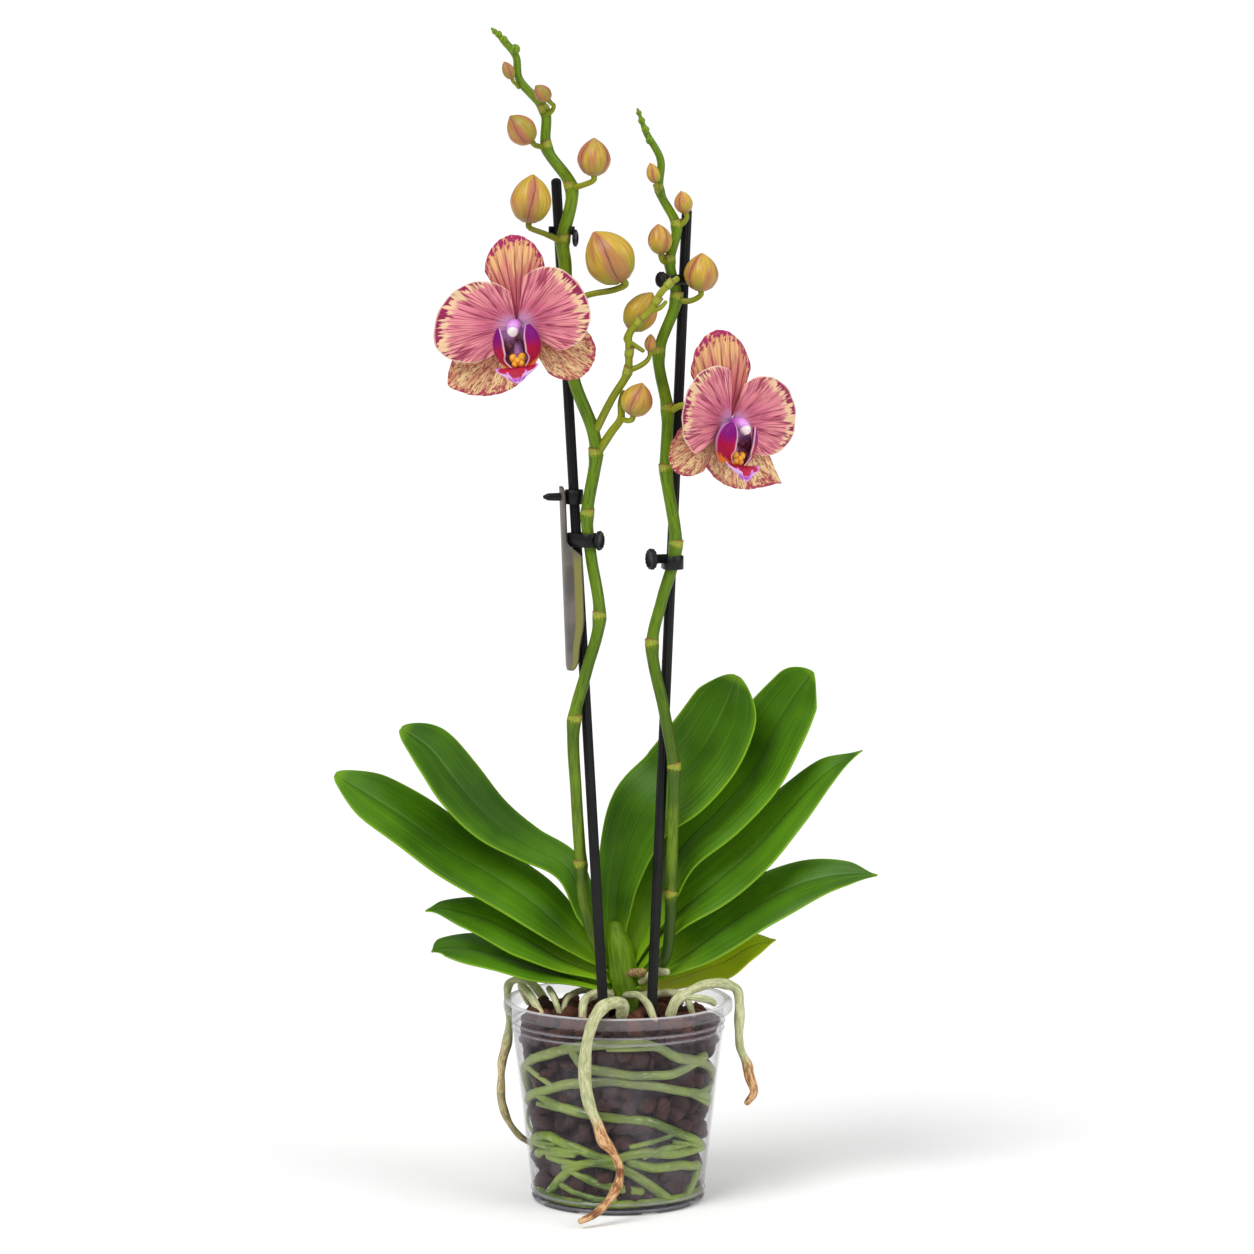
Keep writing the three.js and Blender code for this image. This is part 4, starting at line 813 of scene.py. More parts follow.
def even_wall_points(root, radius):
    """More points between the given ones, so that the line keeps to the round wall."""
    chain = []
    for (a0, z0), (a1, z1) in zip(root, root[1:]):
        turn = short_turn(a0, a1)
        parts = max(1, round(abs(turn) / WALL_STEP))
        chain += [at_wall(a0 + turn * s / parts, lerp(z0, z1, s / parts), radius)
                  for s in range(parts)]
    return chain + [at_wall(*root[-1], radius)]


def knobbly(draw, depth, pace=0.9, ends_at=None):
    """A slow swell along a root, with a little more on one side, that dies out at one end."""
    shift = [draw.uniform(0, 6) for _ in range(3)]

    def swell(station, turns):
        slow = math.sin(station * pace + shift[0]) + 0.6 * math.sin(station * pace * 2.3 + shift[1])
        ease = min(station / 2, 1) if ends_at is None else min((ends_at - station) / 2, 1)
        return depth * ease * (slow * 0.6 + 0.35 * np.cos(turns * 2 + station + shift[2]))
    return swell


print("the first wall root:", len(even_wall_points(WALL_ROOTS[0], WALL_ROOT_RADIUS)), "points")

# %% Roots against the wall
SIDE_ROOTS, LOW_ROOTS = 14, 9
draw = Random(5)
skin = Skin()
for k, root in enumerate(WALL_ROOTS):
    tube(skin, even_wall_points(root, WALL_ROOT_RADIUS), 12, 3, knobbly(draw, 0.28), seed=7.0 * k)
for k in range(SIDE_ROOTS):
    start, z = ROOT_TRACKS[(k * 37) % len(ROOT_TRACKS)]
    way, slope = draw.choice((-1, 1)), draw.uniform(-4, 3)
    side_root = [(start + way * step * 8, min(max(z + slope * step ** 0.8, 6.0), 88.0))
                 for step in range(5)]
    tube(skin, even_wall_points(side_root, draw.uniform(0.9, 1.4)), 8, 3, seed=60 + 3.0 * k)
for k in range(LOW_ROOTS):
    start, z, slope = draw.uniform(-85, 50), draw.uniform(9, 32), draw.uniform(-3, 3)
    low_root = [(start + step * 10, min(max(z + slope * step ** 0.7, 7), 34)) for step in range(5)]
    line = even_wall_points(low_root, draw.uniform(1.5, 2.2))
    tube(skin, line, 10, 3, knobbly(draw, 0.2), seed=k)
ring = [at_wall(degrees, 5 + 0.6 * math.sin(degrees / 19), 2.1) for degrees in range(0, 361, 15)]
tube(skin, ring, 12, 3, knobbly(draw, 0.2), seed=90.0)
make("roots_in_pot", skin, [green_root], ["inner_roots"], "root_in_pot")
print("wall roots:", len(WALL_ROOTS) + 1, "and", SIDE_ROOTS + LOW_ROOTS, "thinner ones")

# %% [markdown]
# Three roots leave the pot over its lip and hang down outside. A few short ones arch over the bark
# near the crown, and one is a stub that ends in the air.

# %% Lines of the air roots
ROOT_FRONT = [
    (2, -38, 103, 2.8), (2.5, -44, 110.5, 3), (-3, -51, 112, 3.1), (-8, -58, 110.8, 3.1),
    (-12.2, -64.2, 105.5, 3.2), (-15.6, -64.6, 94, 3.2), (-16.7, -62, 75, 3.1), (-14.4, -60, 61, 3),
    (-10.1, -60, 50.7, 2.7), (-7.5, -60, 43, 3.1), (-3, -60, 37.5, 2.5), (1.1, -60, 27.4, 2.4),
    (-0.4, -61.5, 19, 2.3), (-5.5, -64.5, 11.5, 2.2), (-11.6, -68, 6.4, 2.1),
    (-19, -72.3, 3.6, 1.5),
]
ROOT_RIGHT = [
    (27, -26, 101, 2.3), (30, -27, 108.5, 2.6), (37, -22, 112.8, 2.6), (48, -12, 115, 2.6),
    (57, -4, 113, 2.6), (62.2, -1, 109.5, 2.6), (63.5, -2, 101, 2.5), (63.2, -4, 90, 2.5),
    (63.8, -5, 79.8, 2.5), (67.4, -6, 71.3, 2.5), (68.6, -6, 65, 2.6), (71, -6, 56.6, 2.3),
    (67.4, -6, 50.8, 1.6),
]
ROOT_RIGHT_FORK = [
    (33, -25, 110.5, 2.1), (42, -24, 109.5, 2), (47.5, -19.5, 107.5, 1.9), (50, -16.5, 105.3, 1.6),
]
ROOT_LEFT = [
    (-38, 20, 100, 1.9), (-46, 23, 109, 2.1), (-53, 25.5, 110.3, 2.1), (-57.5, 27, 108, 2.1),
    (-58.6, 26.5, 101, 2.1), (-57.6, 26, 88, 2.1), (-58.8, 20, 77, 2.5), (-61, 14, 69, 2.2),
    (-61.4, 8, 60, 2.1), (-61.2, 6, 50, 2.1), (-58, 8, 39, 2), (-52.5, 12, 30, 1.9),
    (-46, 20, 23.5, 1.5),
]
SURFACE_ROOTS = [
    [(12, -6, 115, 2.0), (20, -12, 121, 2.2), (25.5, -14, 121.5, 1.9)],
    [(-40, -12, 99, 2.0), (-45.9, -2, 107, 2.3), (-50.3, 5, 110.5, 2.4), (-50, 14, 107, 2.2),
     (-47, 20, 99, 1.8)],
    [(-30, -13, 99, 1.5), (-33, -9, 106, 1.6), (-36, 2, 109.5, 1.5), (-35, 12, 107, 1.4),
     (-31, 18, 99, 1.2)],
    [(-4, -6, 108, 2.6), (-12, -13, 109.5, 2.6), (-17.3, -20, 107, 2.5), (-18.5, -26, 99, 2.2)],
    [(4, -7, 108, 2.0), (11, -14, 109, 2.1), (15.5, -22, 106, 2.0), (19, -27, 98, 1.8)],
    [(7, 1, 107, 2.1), (20, -6, 108.5, 2.1), (28, -11, 110, 2.0), (35, -11, 108, 1.9),
     (39, -15, 99, 1.7)],
    [(-5, 4, 106, 1.8), (-17, 5, 108.5, 1.8), (-26, -3, 106, 1.7), (-29, -10, 99, 1.5)],
]
print("the front root hangs down to", ROOT_FRONT[-1][2], "mm above the floor")

# %% Roots in the air
draw = Random(8)
for name, chains, dry in (
    ("air_root_front", [ROOT_FRONT], (1.0, 0.058, 0.046)),
    ("air_root_right", [ROOT_RIGHT, ROOT_RIGHT_FORK], (1.0, 0.078, 0.068)),
    ("air_root_left", [ROOT_LEFT], (0.45, 0.086, 0.072)),
):
    skin = Skin()
    for chain in chains:
        knobs = knobbly(draw, 0.42, 2.1, ends_at=len(chain) - 1)
        tube(skin, chain, 16, 10, knobs, seed=draw.uniform(0, 50))
    finish = root_in_air_finish(name + " coat", *dry)
    make(name, skin, [finish], [name.replace("air_root", "aerial_root")], "root_in_air")
skin = Skin()
for chain in SURFACE_ROOTS:
    tube(skin, chain, 12, 8, knobbly(draw, 0.2), seed=draw.uniform(0, 50))
surface_coat = root_in_air_finish("surface root coat", 0.4, 0.104, 0.098)
make("surface_roots", skin, [surface_coat], [], "root_in_air")
print("air roots: 3, and", len(SURFACE_ROOTS), "short ones over the bark")

# %% [markdown]
# ## Stems
#
# A flower spike is a smooth green stem with a joint every few centimetres. At each joint a small
# papery bract clasps the stem. Fresh growth at the top is yellow-green, and older stem lower down
# is olive. The spike, its side branch and its bud stalks are tubes that run into each other. Each
# bract is a thin pointed blade rolled round the stem, on the other side at every joint.

# %% Stem finishes
def stem_finish(name, low, high, patches):
    f = Finish(name, Subsurface_Weight=0.05, Specular_IOR_Level=0.3)
    f.translucent(4.0, (0.3, 0.6, 0.1))
    along, around, over = f.grain()
    place = f.vector(f.times(along, 0.5), f.times(around, 1.4), f.times(over, 1.4))
    streak = f.noise(place, 2.5, 3.0)
    patch = f.cloud(30.0)
    base = f.mix(f.step(f.height(), 0.14, 0.42), low, high)
    base = f.tinted(base, patches, patch, 0.4, 0.65, 0.55)
    base = f.tinted(base, low, streak, 0.42, 0.68, 0.6)
    # Every stem is darkened on one side of its round: painted shade, as if the lamps lit the other
    # side.
    base = f.tinted(base, "37480a", around, 0.3, 1.0, 0.35)
    f.bump(streak, 0.12)
    return f.done(base, streak, 0.36, 0.5)


def bract_finish():
    f = Finish("papery bract")
    rise, across, _ = f.grain()
    streak = f.noise(f.vector(f.times(across, 9.0), rise, f.height()))
    base = f.mix(f.step(streak, 0.35, 0.65), "7f9016", "a3a22e")
    base = f.tinted(base, "8a5a30", rise, 0.7, 0.95, 0.85)
    f.bump(streak, 0.2)
    return f.done(base, streak, 0.45, 0.6)


stem_green = stem_finish("green stem", "36500a", "668806", "7f9c12")
young_green = stem_finish("young lime stem", "66700e", "8a9214", "a0a320")
bract_tan = bract_finish()

# %% Joints and bracts
CUFF_RISE, CUFF_REACH = 0.6, 0.09
BRACT_LENGTH, BRACT_THICKNESS = 4.4, 0.32


def joint_swell(joints):
    """A soft ring at each joint, in the places given along the chain."""
    def swell(station, turns):
        near = min(abs(station - joint) for joint in joints) / CUFF_REACH
        return CUFF_RISE * math.exp(-near * near / 2) + 0 * turns
    return swell


def bract(skin, chain, joint, facing):
    """A pointed blade rolled round the stem, that starts at a joint and faces one side."""
    chain = np.array(chain, float)
    line, last = chain[:, :3], len(chain) - 1
    centre, ahead = line_point(line, joint / last), line_direction(line, joint / last)
    side = square_to(ahead, facing)
    over = np.cross(ahead, side)
    radius = chain[joint, 3]

    def point(rise, share):
        across = 2 * share - 1
        turn = across * (lerp(165, 42, rise ** 3) * DEG)
        reach = radius + 0.5 + 0.25 * rise ** 2 - 0.2 * abs(across)
        out = reach * (math.cos(turn) * side + math.sin(turn) * over)
        return centre + ahead * (BRACT_LENGTH * rise - 0.6) + out, (rise, across, 1)

    skin.sheet(8, 13, point, BRACT_THICKNESS, finish=1)


def bracts(skin, chain, joints, forward):
    """One bract at each joint, to the left and to the right in turn."""
    for k, joint in enumerate(joints):
        bract(skin, chain, joint, np.array([1.0 if k % 2 else -1.0, forward, 0]))


print("bracts:", BRACT_LENGTH, "mm long")

# %% [markdown]
# Seen from the front, the lines of the stems are known and their depth is a judgement: low down
# they come forward to meet their stakes, and higher up they lean back with them. The joints are
# numbered along each line.

# %% Lines of the stems
SPIKE_LEFT = [
    (-8, -5.5, 126, 2.4), (-13, -8, 138, 2.9), (-17.8, -11.5, 159, 3), (-19.1, -13, 177, 3.1),
    (-21.5, -17, 215, 3), (-22.6, -19, 253.2, 3.2), (-15.9, -20.5, 279.8, 3),
    (-9.4, -20, 306.1, 3.1), (-13.8, -13.5, 338, 3), (-15.8, -13, 358.6, 3.1),
    (-11.2, -13, 389.9, 3.3), (-12.7, -13, 402.2, 3.3), (-22.5, -11, 428.3, 3.2),
    (-26.5, -9, 453.9, 3.3), (-27, -6.5, 487, 3.4), (-28.3, -5.6, 498.8, 3.4),
    (-23.7, -5, 526.2, 3.1), (-36.4, -5, 546.6, 2.7), (-37.3, -5, 565.4, 2.5),
    (-50.4, -5, 581.6, 2.1), (-52, -5, 593, 1.9), (-57.6, -5, 600.4, 1.9), (-64.2, -5, 607.1, 0.7),
]
SPIKE_LEFT_JOINTS = (3, 5, 7, 9, 10, 15, 16, 17, 18)
SPIKE_RIGHT = [
    (18.6, -7, 120, 2.4), (24.6, -9.5, 128, 2.8), (27, -10, 145, 3), (27.5, -11, 160.7, 3.1),
    (28.3, -15, 195, 3), (28.9, -17.5, 228, 3.1), (23.8, -19, 258.7, 3), (17.6, -16, 291.7, 3.1),
    (22.7, -14, 315.3, 3), (29.7, -13.4, 342.5, 3.2), (24.8, -9, 381.5, 3.1),
    (25.5, -8, 412.3, 3.1), (21, -6, 441.4, 2.9), (29.9, -4.5, 469.6, 2.9),
    (26.6, -4.5, 488.5, 2.6), (30.1, -3, 506.4, 2.5), (21.5, 0, 524.8, 2.1), (21.9, 1, 540.6, 2),
    (14.4, 2, 554.9, 1.7), (10.1, 3, 566.6, 0.6),
]
SPIKE_RIGHT_JOINTS = (3, 5, 7, 9, 10, 11, 12, 13, 14, 15, 16)
BRANCH = [
    (-12.2, -13, 400.7, 2.2), (-3, -18, 418.9, 2), (4.9, -22, 432.3, 2.1), (5.7, -24, 441.7, 1.9),
    (5.9, -25, 451.7, 1.8), (9.8, -26, 457.3, 1.8), (15.4, -26, 462.9, 1.8),
    (19.2, -26, 468.2, 1.8), (21.5, -26, 472.5, 1.8), (25.2, -25, 476.6, 1.7),
    (30.2, -24, 480.3, 1.5),
]
BRANCH_JOINTS = (2, 3, 5, 7, 9)
TWIGS = [
    [(17.4, -26, 463.9, 1.3), (21.5, -26, 465.4, 1.2), (24.5, -26, 468.5, 1)],
    [(6.8, -25, 447.5, 1.4), (12.9, -24, 443.6, 1.1)],
    [(-11.2, -13, 389.9, 2.4), (-3.5, -15, 401.5, 2.2), (1.5, -16, 408.8, 2),
     (1.6, -15, 416.7, 1.7), (2.7, -14, 422.3, 1.3)],
]
print("the left spike ends", SPIKE_LEFT[-1][2], "mm up, the right one", SPIKE_RIGHT[-1][2])

# %% [markdown]
# Buds get smaller towards the tip of a spike, where they are youngest. Each is given by where it
# starts, where it ends and how wide it is. Its stalk goes from the stem to just behind it.

# %% Lines of the buds
BUDS = {
    "left_1": {"base": (-12.1, -14, 532.3), "tip": (-12.1, -14, 551.5), "width": 16.8},
    "left_2": {"base": (-45.3, -16, 508.5), "tip": (-43.2, -16, 533), "width": 20.6},
    "left_3": {"base": (3, -17, 479), "tip": (-12.3, -17, 503.9), "width": 25},
    "left_4": {"base": (-43.7, -12, 549.6), "tip": (-54.9, -12, 562.7), "width": 14.6},
    "left_5": {"base": (-35.1, -12.5, 570.5), "tip": (-41.8, -13, 578.1), "width": 8.4},
    "left_6": {"base": (-53.9, -9.5, 581.6), "tip": (-58, -10, 590.2), "width": 6.2},
    "branch_1": {"base": (6.4, -10, 454), "tip": (17.6, -10, 473), "width": 16.8},
    "branch_2": {"base": (16.4, -19, 442.9), "tip": (16.9, -19, 452.1), "width": 6},
    "branch_3": {"base": (7.8, -22, 410.4), "tip": (12.4, -22, 427.2), "width": 16.2},
    "right_1": {"base": (42.6, -9.6, 473.7), "tip": (43.1, -9.6, 493.1), "width": 17.6},
    "right_2": {"base": (22.1, -9.5, 492.6), "tip": (20.6, -9.5, 507.9), "width": 12.4},
    "right_3": {"base": (34.9, -6, 513.5), "tip": (32.3, -6, 524.7), "width": 9.4},
    "right_4": {"base": (19.6, -7, 528.8), "tip": (16.5, -7, 539), "width": 6.8},
}
BUD_STALKS = {  # the chain of each stalk, and its radius where it ends
    "left_1": ([(-23.7, -5, 526.2, 1.7), (-18, -10, 527.6, 1.5)], 1.4),
    "left_2": ([(-28.3, -5.6, 498.8, 1.7), (-37.2, -12, 502.9, 1.5)], 1.4),
    "left_3": ([(-26.8, -8, 467.7, 1.7), (-13.2, -14, 472.3, 1.6), (-1.7, -16.5, 474.5, 1.6)], 1.7),
    "left_4": ([(-36.4, -5, 546.6, 1.5), (-40.5, -9.5, 547.4, 1.4)], 1.4),
    "left_5": ([(-37, -6, 563, 1.4), (-33.5, -9, 565.5, 1.2), (-32.6, -11, 568, 1.1)], 1.1),
    "left_6": ([(-50.6, -5, 577.5, 1.2), (-52, -8, 579, 1)], 0.9),
    "branch_1": ([(5.8, -24.5, 447, 1.5), (4.2, -17, 449.5, 1.4)], 1.4),
    "branch_2": ([(5.5, -22.5, 433.5, 1.5), (11.3, -22.5, 435.9, 1.4), (15, -20.5, 438.6, 1.3)],
                 1.1),
    "branch_3": ([(1.5, -16, 408.8, 1.5), (5, -20, 407.8, 1.4)], 1.4),
    "right_1": ([(29.9, -4.5, 469.1, 1.7), (37, -6.5, 468.6, 1.5)], 1.4),
    "right_2": ([(26.8, -4.5, 487.5, 1.5), (23.6, -7.5, 488.6, 1.4)], 1.4),
    "right_3": ([(30.4, -3, 506.2, 1.4), (33.8, -4.8, 508.6, 1.3)], 1.4),
    "right_4": ([(21.5, 0, 523.8, 1.3), (20.6, -4.5, 525, 1.1)], 0.9),
}
print("the widest bud:", max(bud["width"] for bud in BUDS.values()), "mm")

# %% [markdown]
# A flower is set by its middle and by three turns: turn to the side, nod of its face and roll in
# its own plane. Sway turns only the lip. A petal or sepal points to its angle, and the other values
# say how it differs from a plain one, which is given where the petals are made.

# %% Where the flowers sit
BLOOMS = {
    "left": {
        "centre": (-51, -34, 457), "turn": -10, "nod": 6, "roll": 4, "sway": 4,
        "petals": [
            {"angle": 162, "spread": 67, "drop": 0.6, "power": 1.6, "skew": 0.4},
            {"angle": 21, "spread": 55, "length": 39.5, "drop": 0.38, "power": 2.6},
        ],
        "sepals": [
            {"angle": 88, "length": 45.5},
            {"angle": 231, "spread": 37, "length": 49, "drop": 0.4, "power": 1.15, "skew": -0.4},
            {"angle": 327, "length": 43, "drop": 0.32, "power": 2.4},
        ],
        "stalk": [(-26.4, -9, 451, 1.8), (-36, -17, 457, 1.7)],
    },
    "right": {
        "centre": (57.5, -26, 407), "turn": 38, "nod": 6, "roll": 4, "sway": -13,
        "petals": [
            {"angle": 153, "spread": 55, "length": 37, "drop": 0.25, "power": 2.6, "lift": 14,
             "skew": -0.2},
            {"angle": 10.5, "spread": 62, "length": 41, "drop": 0.5, "power": 1.8, "skew": -0.28},
        ],
        "sepals": [
            {"angle": 90, "spread": 38, "length": 46.5, "drop": 0.32, "power": 1.7, "lift": -7,
             "flare": 0.6},
            {"angle": 208, "length": 40.5},
            {"angle": 285, "spread": 47, "length": 53, "drop": 0.52, "power": 0.6, "skew": 0.667},
        ],
        "stalk": [(25.5, -8, 411.3, 1.8), (34, -13, 415.5, 1.7)],
    },
}


def bloom_turn(bloom):
    """The turn of a flower: its own z runs out of its face, its own y runs up."""
    upright = about_x((90 + bloom["nod"]) * DEG)
    return about_z(bloom["turn"] * DEG) @ upright @ about_z(bloom["roll"] * DEG)


print("flowers:", ", ".join(f"{name} at {bloom['centre']}" for name, bloom in BLOOMS.items()))

# %% Spikes
BEADS = {  # the smallest buds of all, at the very tip: a middle and a radius each
    "left": [(-52.4, -6.6, 596.6, 2.7), (-58.2, -6, 601.4, 2.2), (-60.8, -5.2, 604.2, 1.9),
             (-62.8, -4.8, 605.6, 1.5)],
    "right": [(16.4, 0.6, 550.6, 2.2), (14.2, 0.6, 556, 2.1), (12.2, 2, 560.6, 1.9),
              (10.8, 2.6, 564.6, 1.5)],
}


def bud_stalk(skin, name, finish):
    chain, radius = BUD_STALKS[name]
    base, tip = (np.array(BUDS[name][end], float) for end in ("base", "tip"))
    back = (base - tip) / np.linalg.norm(base - tip)
    neck = [(*(base + back * 2), radius), (*(base + back * 0.2), radius * 1.15)]
    tube(skin, [*chain, *neck], 10, 5, finish=finish)


def bloom_stalk(skin, bloom):
    turn, centre = bloom_turn(bloom), np.array(bloom["centre"], float)
    ends = [(*(turn @ [0, 0, -9] + centre), 1.7), (*(turn @ [0, 0, -6.4] + centre), 1.9)]
    tube(skin, [*bloom["stalk"], *ends], 10, 5, finish=2)


def bead(skin, x, y, z, radius):
    profile = [(radius * math.sin(a), -radius * math.cos(a)) for a in np.linspace(0.1, 3.04, 9)]
    turned(skin, profile, (x, y, z), (0.3, 0, 1), 14)


def spike(name, chain, joints):
    skin = Skin()
    tube(skin, chain, 18, 10, joint_swell(joints))
    bracts(skin, chain, joints, -0.55)
    for bud_name in BUDS:
        if bud_name.startswith("right") == (name == "right"):
            bud_stalk(skin, bud_name, 2)
    bloom_stalk(skin, BLOOMS[name])
    for place_and_radius in BEADS[name]:
        bead(skin, *place_and_radius)
    if name == "left":
        tube(skin, BRANCH, 14, 8, joint_swell(BRANCH_JOINTS), finish=2)
        bracts(skin, BRANCH, BRANCH_JOINTS, -0.6)
        for twig in TWIGS:
            tube(skin, twig, 12, 6, finish=2)
    finishes = [stem_green, bract_tan, young_green]
    make(f"flower_spike_{name}", skin, finishes, [f"spike_{name}"], "stem")
    print("spike", name, "has", skin.count(), "points")


spike("left", SPIKE_LEFT, SPIKE_LEFT_JOINTS)
spike("right", SPIKE_RIGHT, SPIKE_RIGHT_JOINTS)

# %% [markdown]
# ## Buds
#
# A bud is three outer sepals closed edge to edge, so it has three seams that meet at its tip. It
# is olive-yellow with a pink blush along the seams. A stretched ball would have no seams, so the
# ring of each slice is drawn in a little at three places, and the seam and the blush follow them.

# %% Bud finish
def bud_finish():
    f = Finish("bud skin", Subsurface_Weight=0.08, Specular_IOR_Level=0.35)
    f.translucent(3.0, (0.6, 0.4, 0.15))
    rise, seam, turn = f.grain()
    wash = f.noise(f.stretched(turn, 1.3, rise, 0.5, f.times(f.height(), 9.0)), 1.7, 1.0)
    streak = f.noise(f.stretched(turn, 9.0, rise, 0.8, f.height()), 2.0)
    young = f.step(f.height(), 0.53, 0.575)
    base = f.mix(f.step(rise, 0.0, 0.45), "96982a", "d0ac38")
    base = f.mix(young, base, "8f8a2a")
    base = f.tinted(base, "97962a", streak, 0.45, 0.65, 0.5)
    base = f.tinted(base, "bc7450", wash, 0.45, 0.6, 0.7)
    fine = f.lines(f.stretched(turn, 13.0, rise, 0.9, f.height()), 0.07)
    base = f.mix(f.times(fine, f.step(rise, 0.1, 0.4, 0.1, 0.55)), base, "9a5848")
    base = f.tinted(base, "ab5a58", seam, 0.5, 0.97, 0.55)
    base = f.tinted(base, "7a3338", seam, 0.975, 0.997, 0.85)
    base = f.tinted(base, "8f6a48", rise, 0.16, 0.0, 0.5)
    f.bump(streak, 0.08)
    return f.done(base, streak, 0.36, 0.48)


bud_skin = bud_finish()

# %% Buds
BUD_PROFILE = [(0, 0.3), (0.1, 0.68), (0.37, 1), (0.62, 0.92), (0.84, 0.58), (1, 0.07)]
BUD_ROWS, BUD_COLUMNS = 26, 48
SEAMS, SEAM_DEPTH, SEAM_TWIST = 3, 0.07, 0.5


def bud_share(t):
    """How wide a bud is at share t of its length, on a smooth line through its profile."""
    places = [place for place, _ in BUD_PROFILE]
    k = min(max(sum(place <= t for place in places) - 1, 0), len(places) - 2)
    (p0, v0), (p1, v1) = BUD_PROFILE[k], BUD_PROFILE[k + 1]
    slopes = []
    for m in (k, k + 1):
        (a, va), (b, vb) = BUD_PROFILE[max(m - 1, 0)], BUD_PROFILE[min(m + 1, len(places) - 1)]
        slopes.append((vb - va) / (b - a) * (p1 - p0))
    return hermite(v0, v1, slopes[0], slopes[1], (t - p0) / (p1 - p0))


def bud(name, form, draw):
    base, tip = np.array(form["base"], float), np.array(form["tip"], float)
    axis = (tip - base) / np.linalg.norm(tip - base)
    side = np.cross(axis, [0, 1.0, 0.1])
    side /= np.linalg.norm(side)
    start = draw.uniform(0, 2 * math.pi / SEAMS)
    turns = turns_round(BUD_COLUMNS)
    ways = spokes(side, np.cross(axis, side), turns)
    points = np.zeros((BUD_ROWS, BUD_COLUMNS, 3))
    grain = np.zeros_like(points)
    for i in range(BUD_ROWS):
        t = 0.5 - 0.5 * math.cos(math.pi * i / (BUD_ROWS - 1))
        twist = start + SEAM_TWIST * t
        near = np.abs(np.cos((turns - twist) * SEAMS / 2))
        groove = np.exp(-((1 - near) / 0.02))
        belly = 1 + 0.035 * np.cos((turns - twist) * SEAMS + math.pi)
        radius = bud_share(t) * form["width"] / 2 * belly
        radius *= 1 - SEAM_DEPTH * groove * math.sin(math.pi * t)
        points[i] = lerp(base, tip, t) + radius[:, None] * ways
        grain[i] = np.column_stack([np.full(BUD_COLUMNS, t), near ** 3, np.cos(turns)])
    skin = Skin()
    skin.grid(points, grain, ring=True, caps=True)
    make(f"flower_bud_{name}", skin, [bud_skin], [f"bud_{name}"], "bud")


draw = Random(21)
for name, form in BUDS.items():
    bud(name, form, draw)
print("buds:", len(BUDS))

# %% [markdown]
# ## Crown and leaves
#
# The crown is the short stem that all the leaves and roots grow from, with the cut stub of an old
# spike. A moth orchid's leaf is thick and leathery, deep green above and paler below, with one
# crease down its middle, fine lengthwise veins and a thin bright edge. A leaf is a blade over a
# grid: its rib is a smooth line, its width follows a second line, and it is folded at the crown
# and almost flat further out. The crease and the keel under it are modelled, the veins are painted.

# %% Leaf finishes
def leaf_finish(name, deep, bright, edge, under):
    f = Finish(name, Specular_IOR_Level=0.2)
    along, across, face = f.grain()
    off = f.sum("ABSOLUTE", across)
    seed = f.times(f.height(), 2.0)
    veins = f.noise(f.stretched(across, 26.0, along, 1.1, seed))
    cloud = f.cloud(13.0, 3.0, 0.6)
    top = f.mix(f.step(cloud, 0.3, 0.72), deep, bright)
    top = f.tinted(top, deep, veins, 0.45, 0.75, 0.5)
    pale = f.noise(f.stretched(across, 34.0, along, 1.6, seed))
    top = f.tinted(top, edge, pale, 0.55, 0.72, 0.3)
    # A dark line along the crease down the middle: painted shade in the fold.
    top = f.mix(f.step(off, 0.0, 0.045, 0.45, 0.0), top, "1a3605")
    top = f.mix(f.step(along, 0.02, 0.3, 0.85, 0.0), top, edge)
    below = f.mix(f.step(veins, 0.4, 0.7), under, edge)
    base = f.mix(f.step(face, -0.2, 0.2), below, top)
    base = f.tinted(base, edge, off, 0.94, 0.985, 0.75)
    base = f.tinted(base, edge, along, 0.95, 1.0, 0.5)
    grit = f.cloud(420.0)
    f.bump(f.plus(f.times(veins, 0.8), f.times(grit, 0.25)), 0.22)
    return f.done(base, cloud, 0.3, 0.42)


leaf_green = leaf_finish("leathery leaf", "2d5408", "53850e", "86b41c", "5b8612")
leaf_yellow = leaf_finish("yellowing leaf", "9cb414", "c6cc26", "d4d044", "b8be34")

# %% Crown
CROWN = [
    (4.4, 0, 88, 5.5), (4.4, -1, 106, 6.6), (2.6, -1, 120, 7.6), (0.6, 0, 132, 7.2),
    (-1.4, 2, 142, 4.6),
]
OLD_SPIKE_STUB = [(4, -6, 119.6, 2.2), (13, -9.5, 120.4, 2.4)]


def crown_finish():
    f = Finish("crown skin", Specular_IOR_Level=0.3)
    along, around, over = f.grain()
    place = f.vector(f.times(along, 0.4), f.times(around, 2.0), f.times(over, 2.0))
    streak = f.noise(place, 2.2, 3.0)
    base = f.mix(f.step(streak, 0.38, 0.64), "5c7f08", "739c10")
    base = f.mix(f.step(f.height(), 0.100, 0.108, 0.7, 0.0), base, "5b6a2a")
    f.bump(streak, 0.3)
    return f.done(base, streak, 0.36, 0.5)


def stub_finish():
    f = Finish("dry cut end")
    along, around, over = f.grain()
    rings = f.noise(f.vector(f.times(along, 6.0), around, over), 2.0, 3.0)
    base = f.mix(f.step(rings, 0.35, 0.65), "6f5529", "b79a62")
    f.bump(rings, 0.4)
    return f.done(base, rings, 0.6, 0.8)


skin = Skin()
tube(skin, CROWN, 24, 6)
tube(skin, OLD_SPIKE_STUB, 16, 4, finish=1)
make("crown_stem", skin, [crown_finish(), stub_finish()], ["crown"], "stem")
print("crown: a stem and a stub")

# %% [markdown]
# Each leaf's line is its rib, with half the leaf's width at every point. "near" is the way to the
# edge that faces the viewer, "hand" says on which side its upper face lies, and "channel" and
# "trough" are the degrees it is folded at the crown and further out.

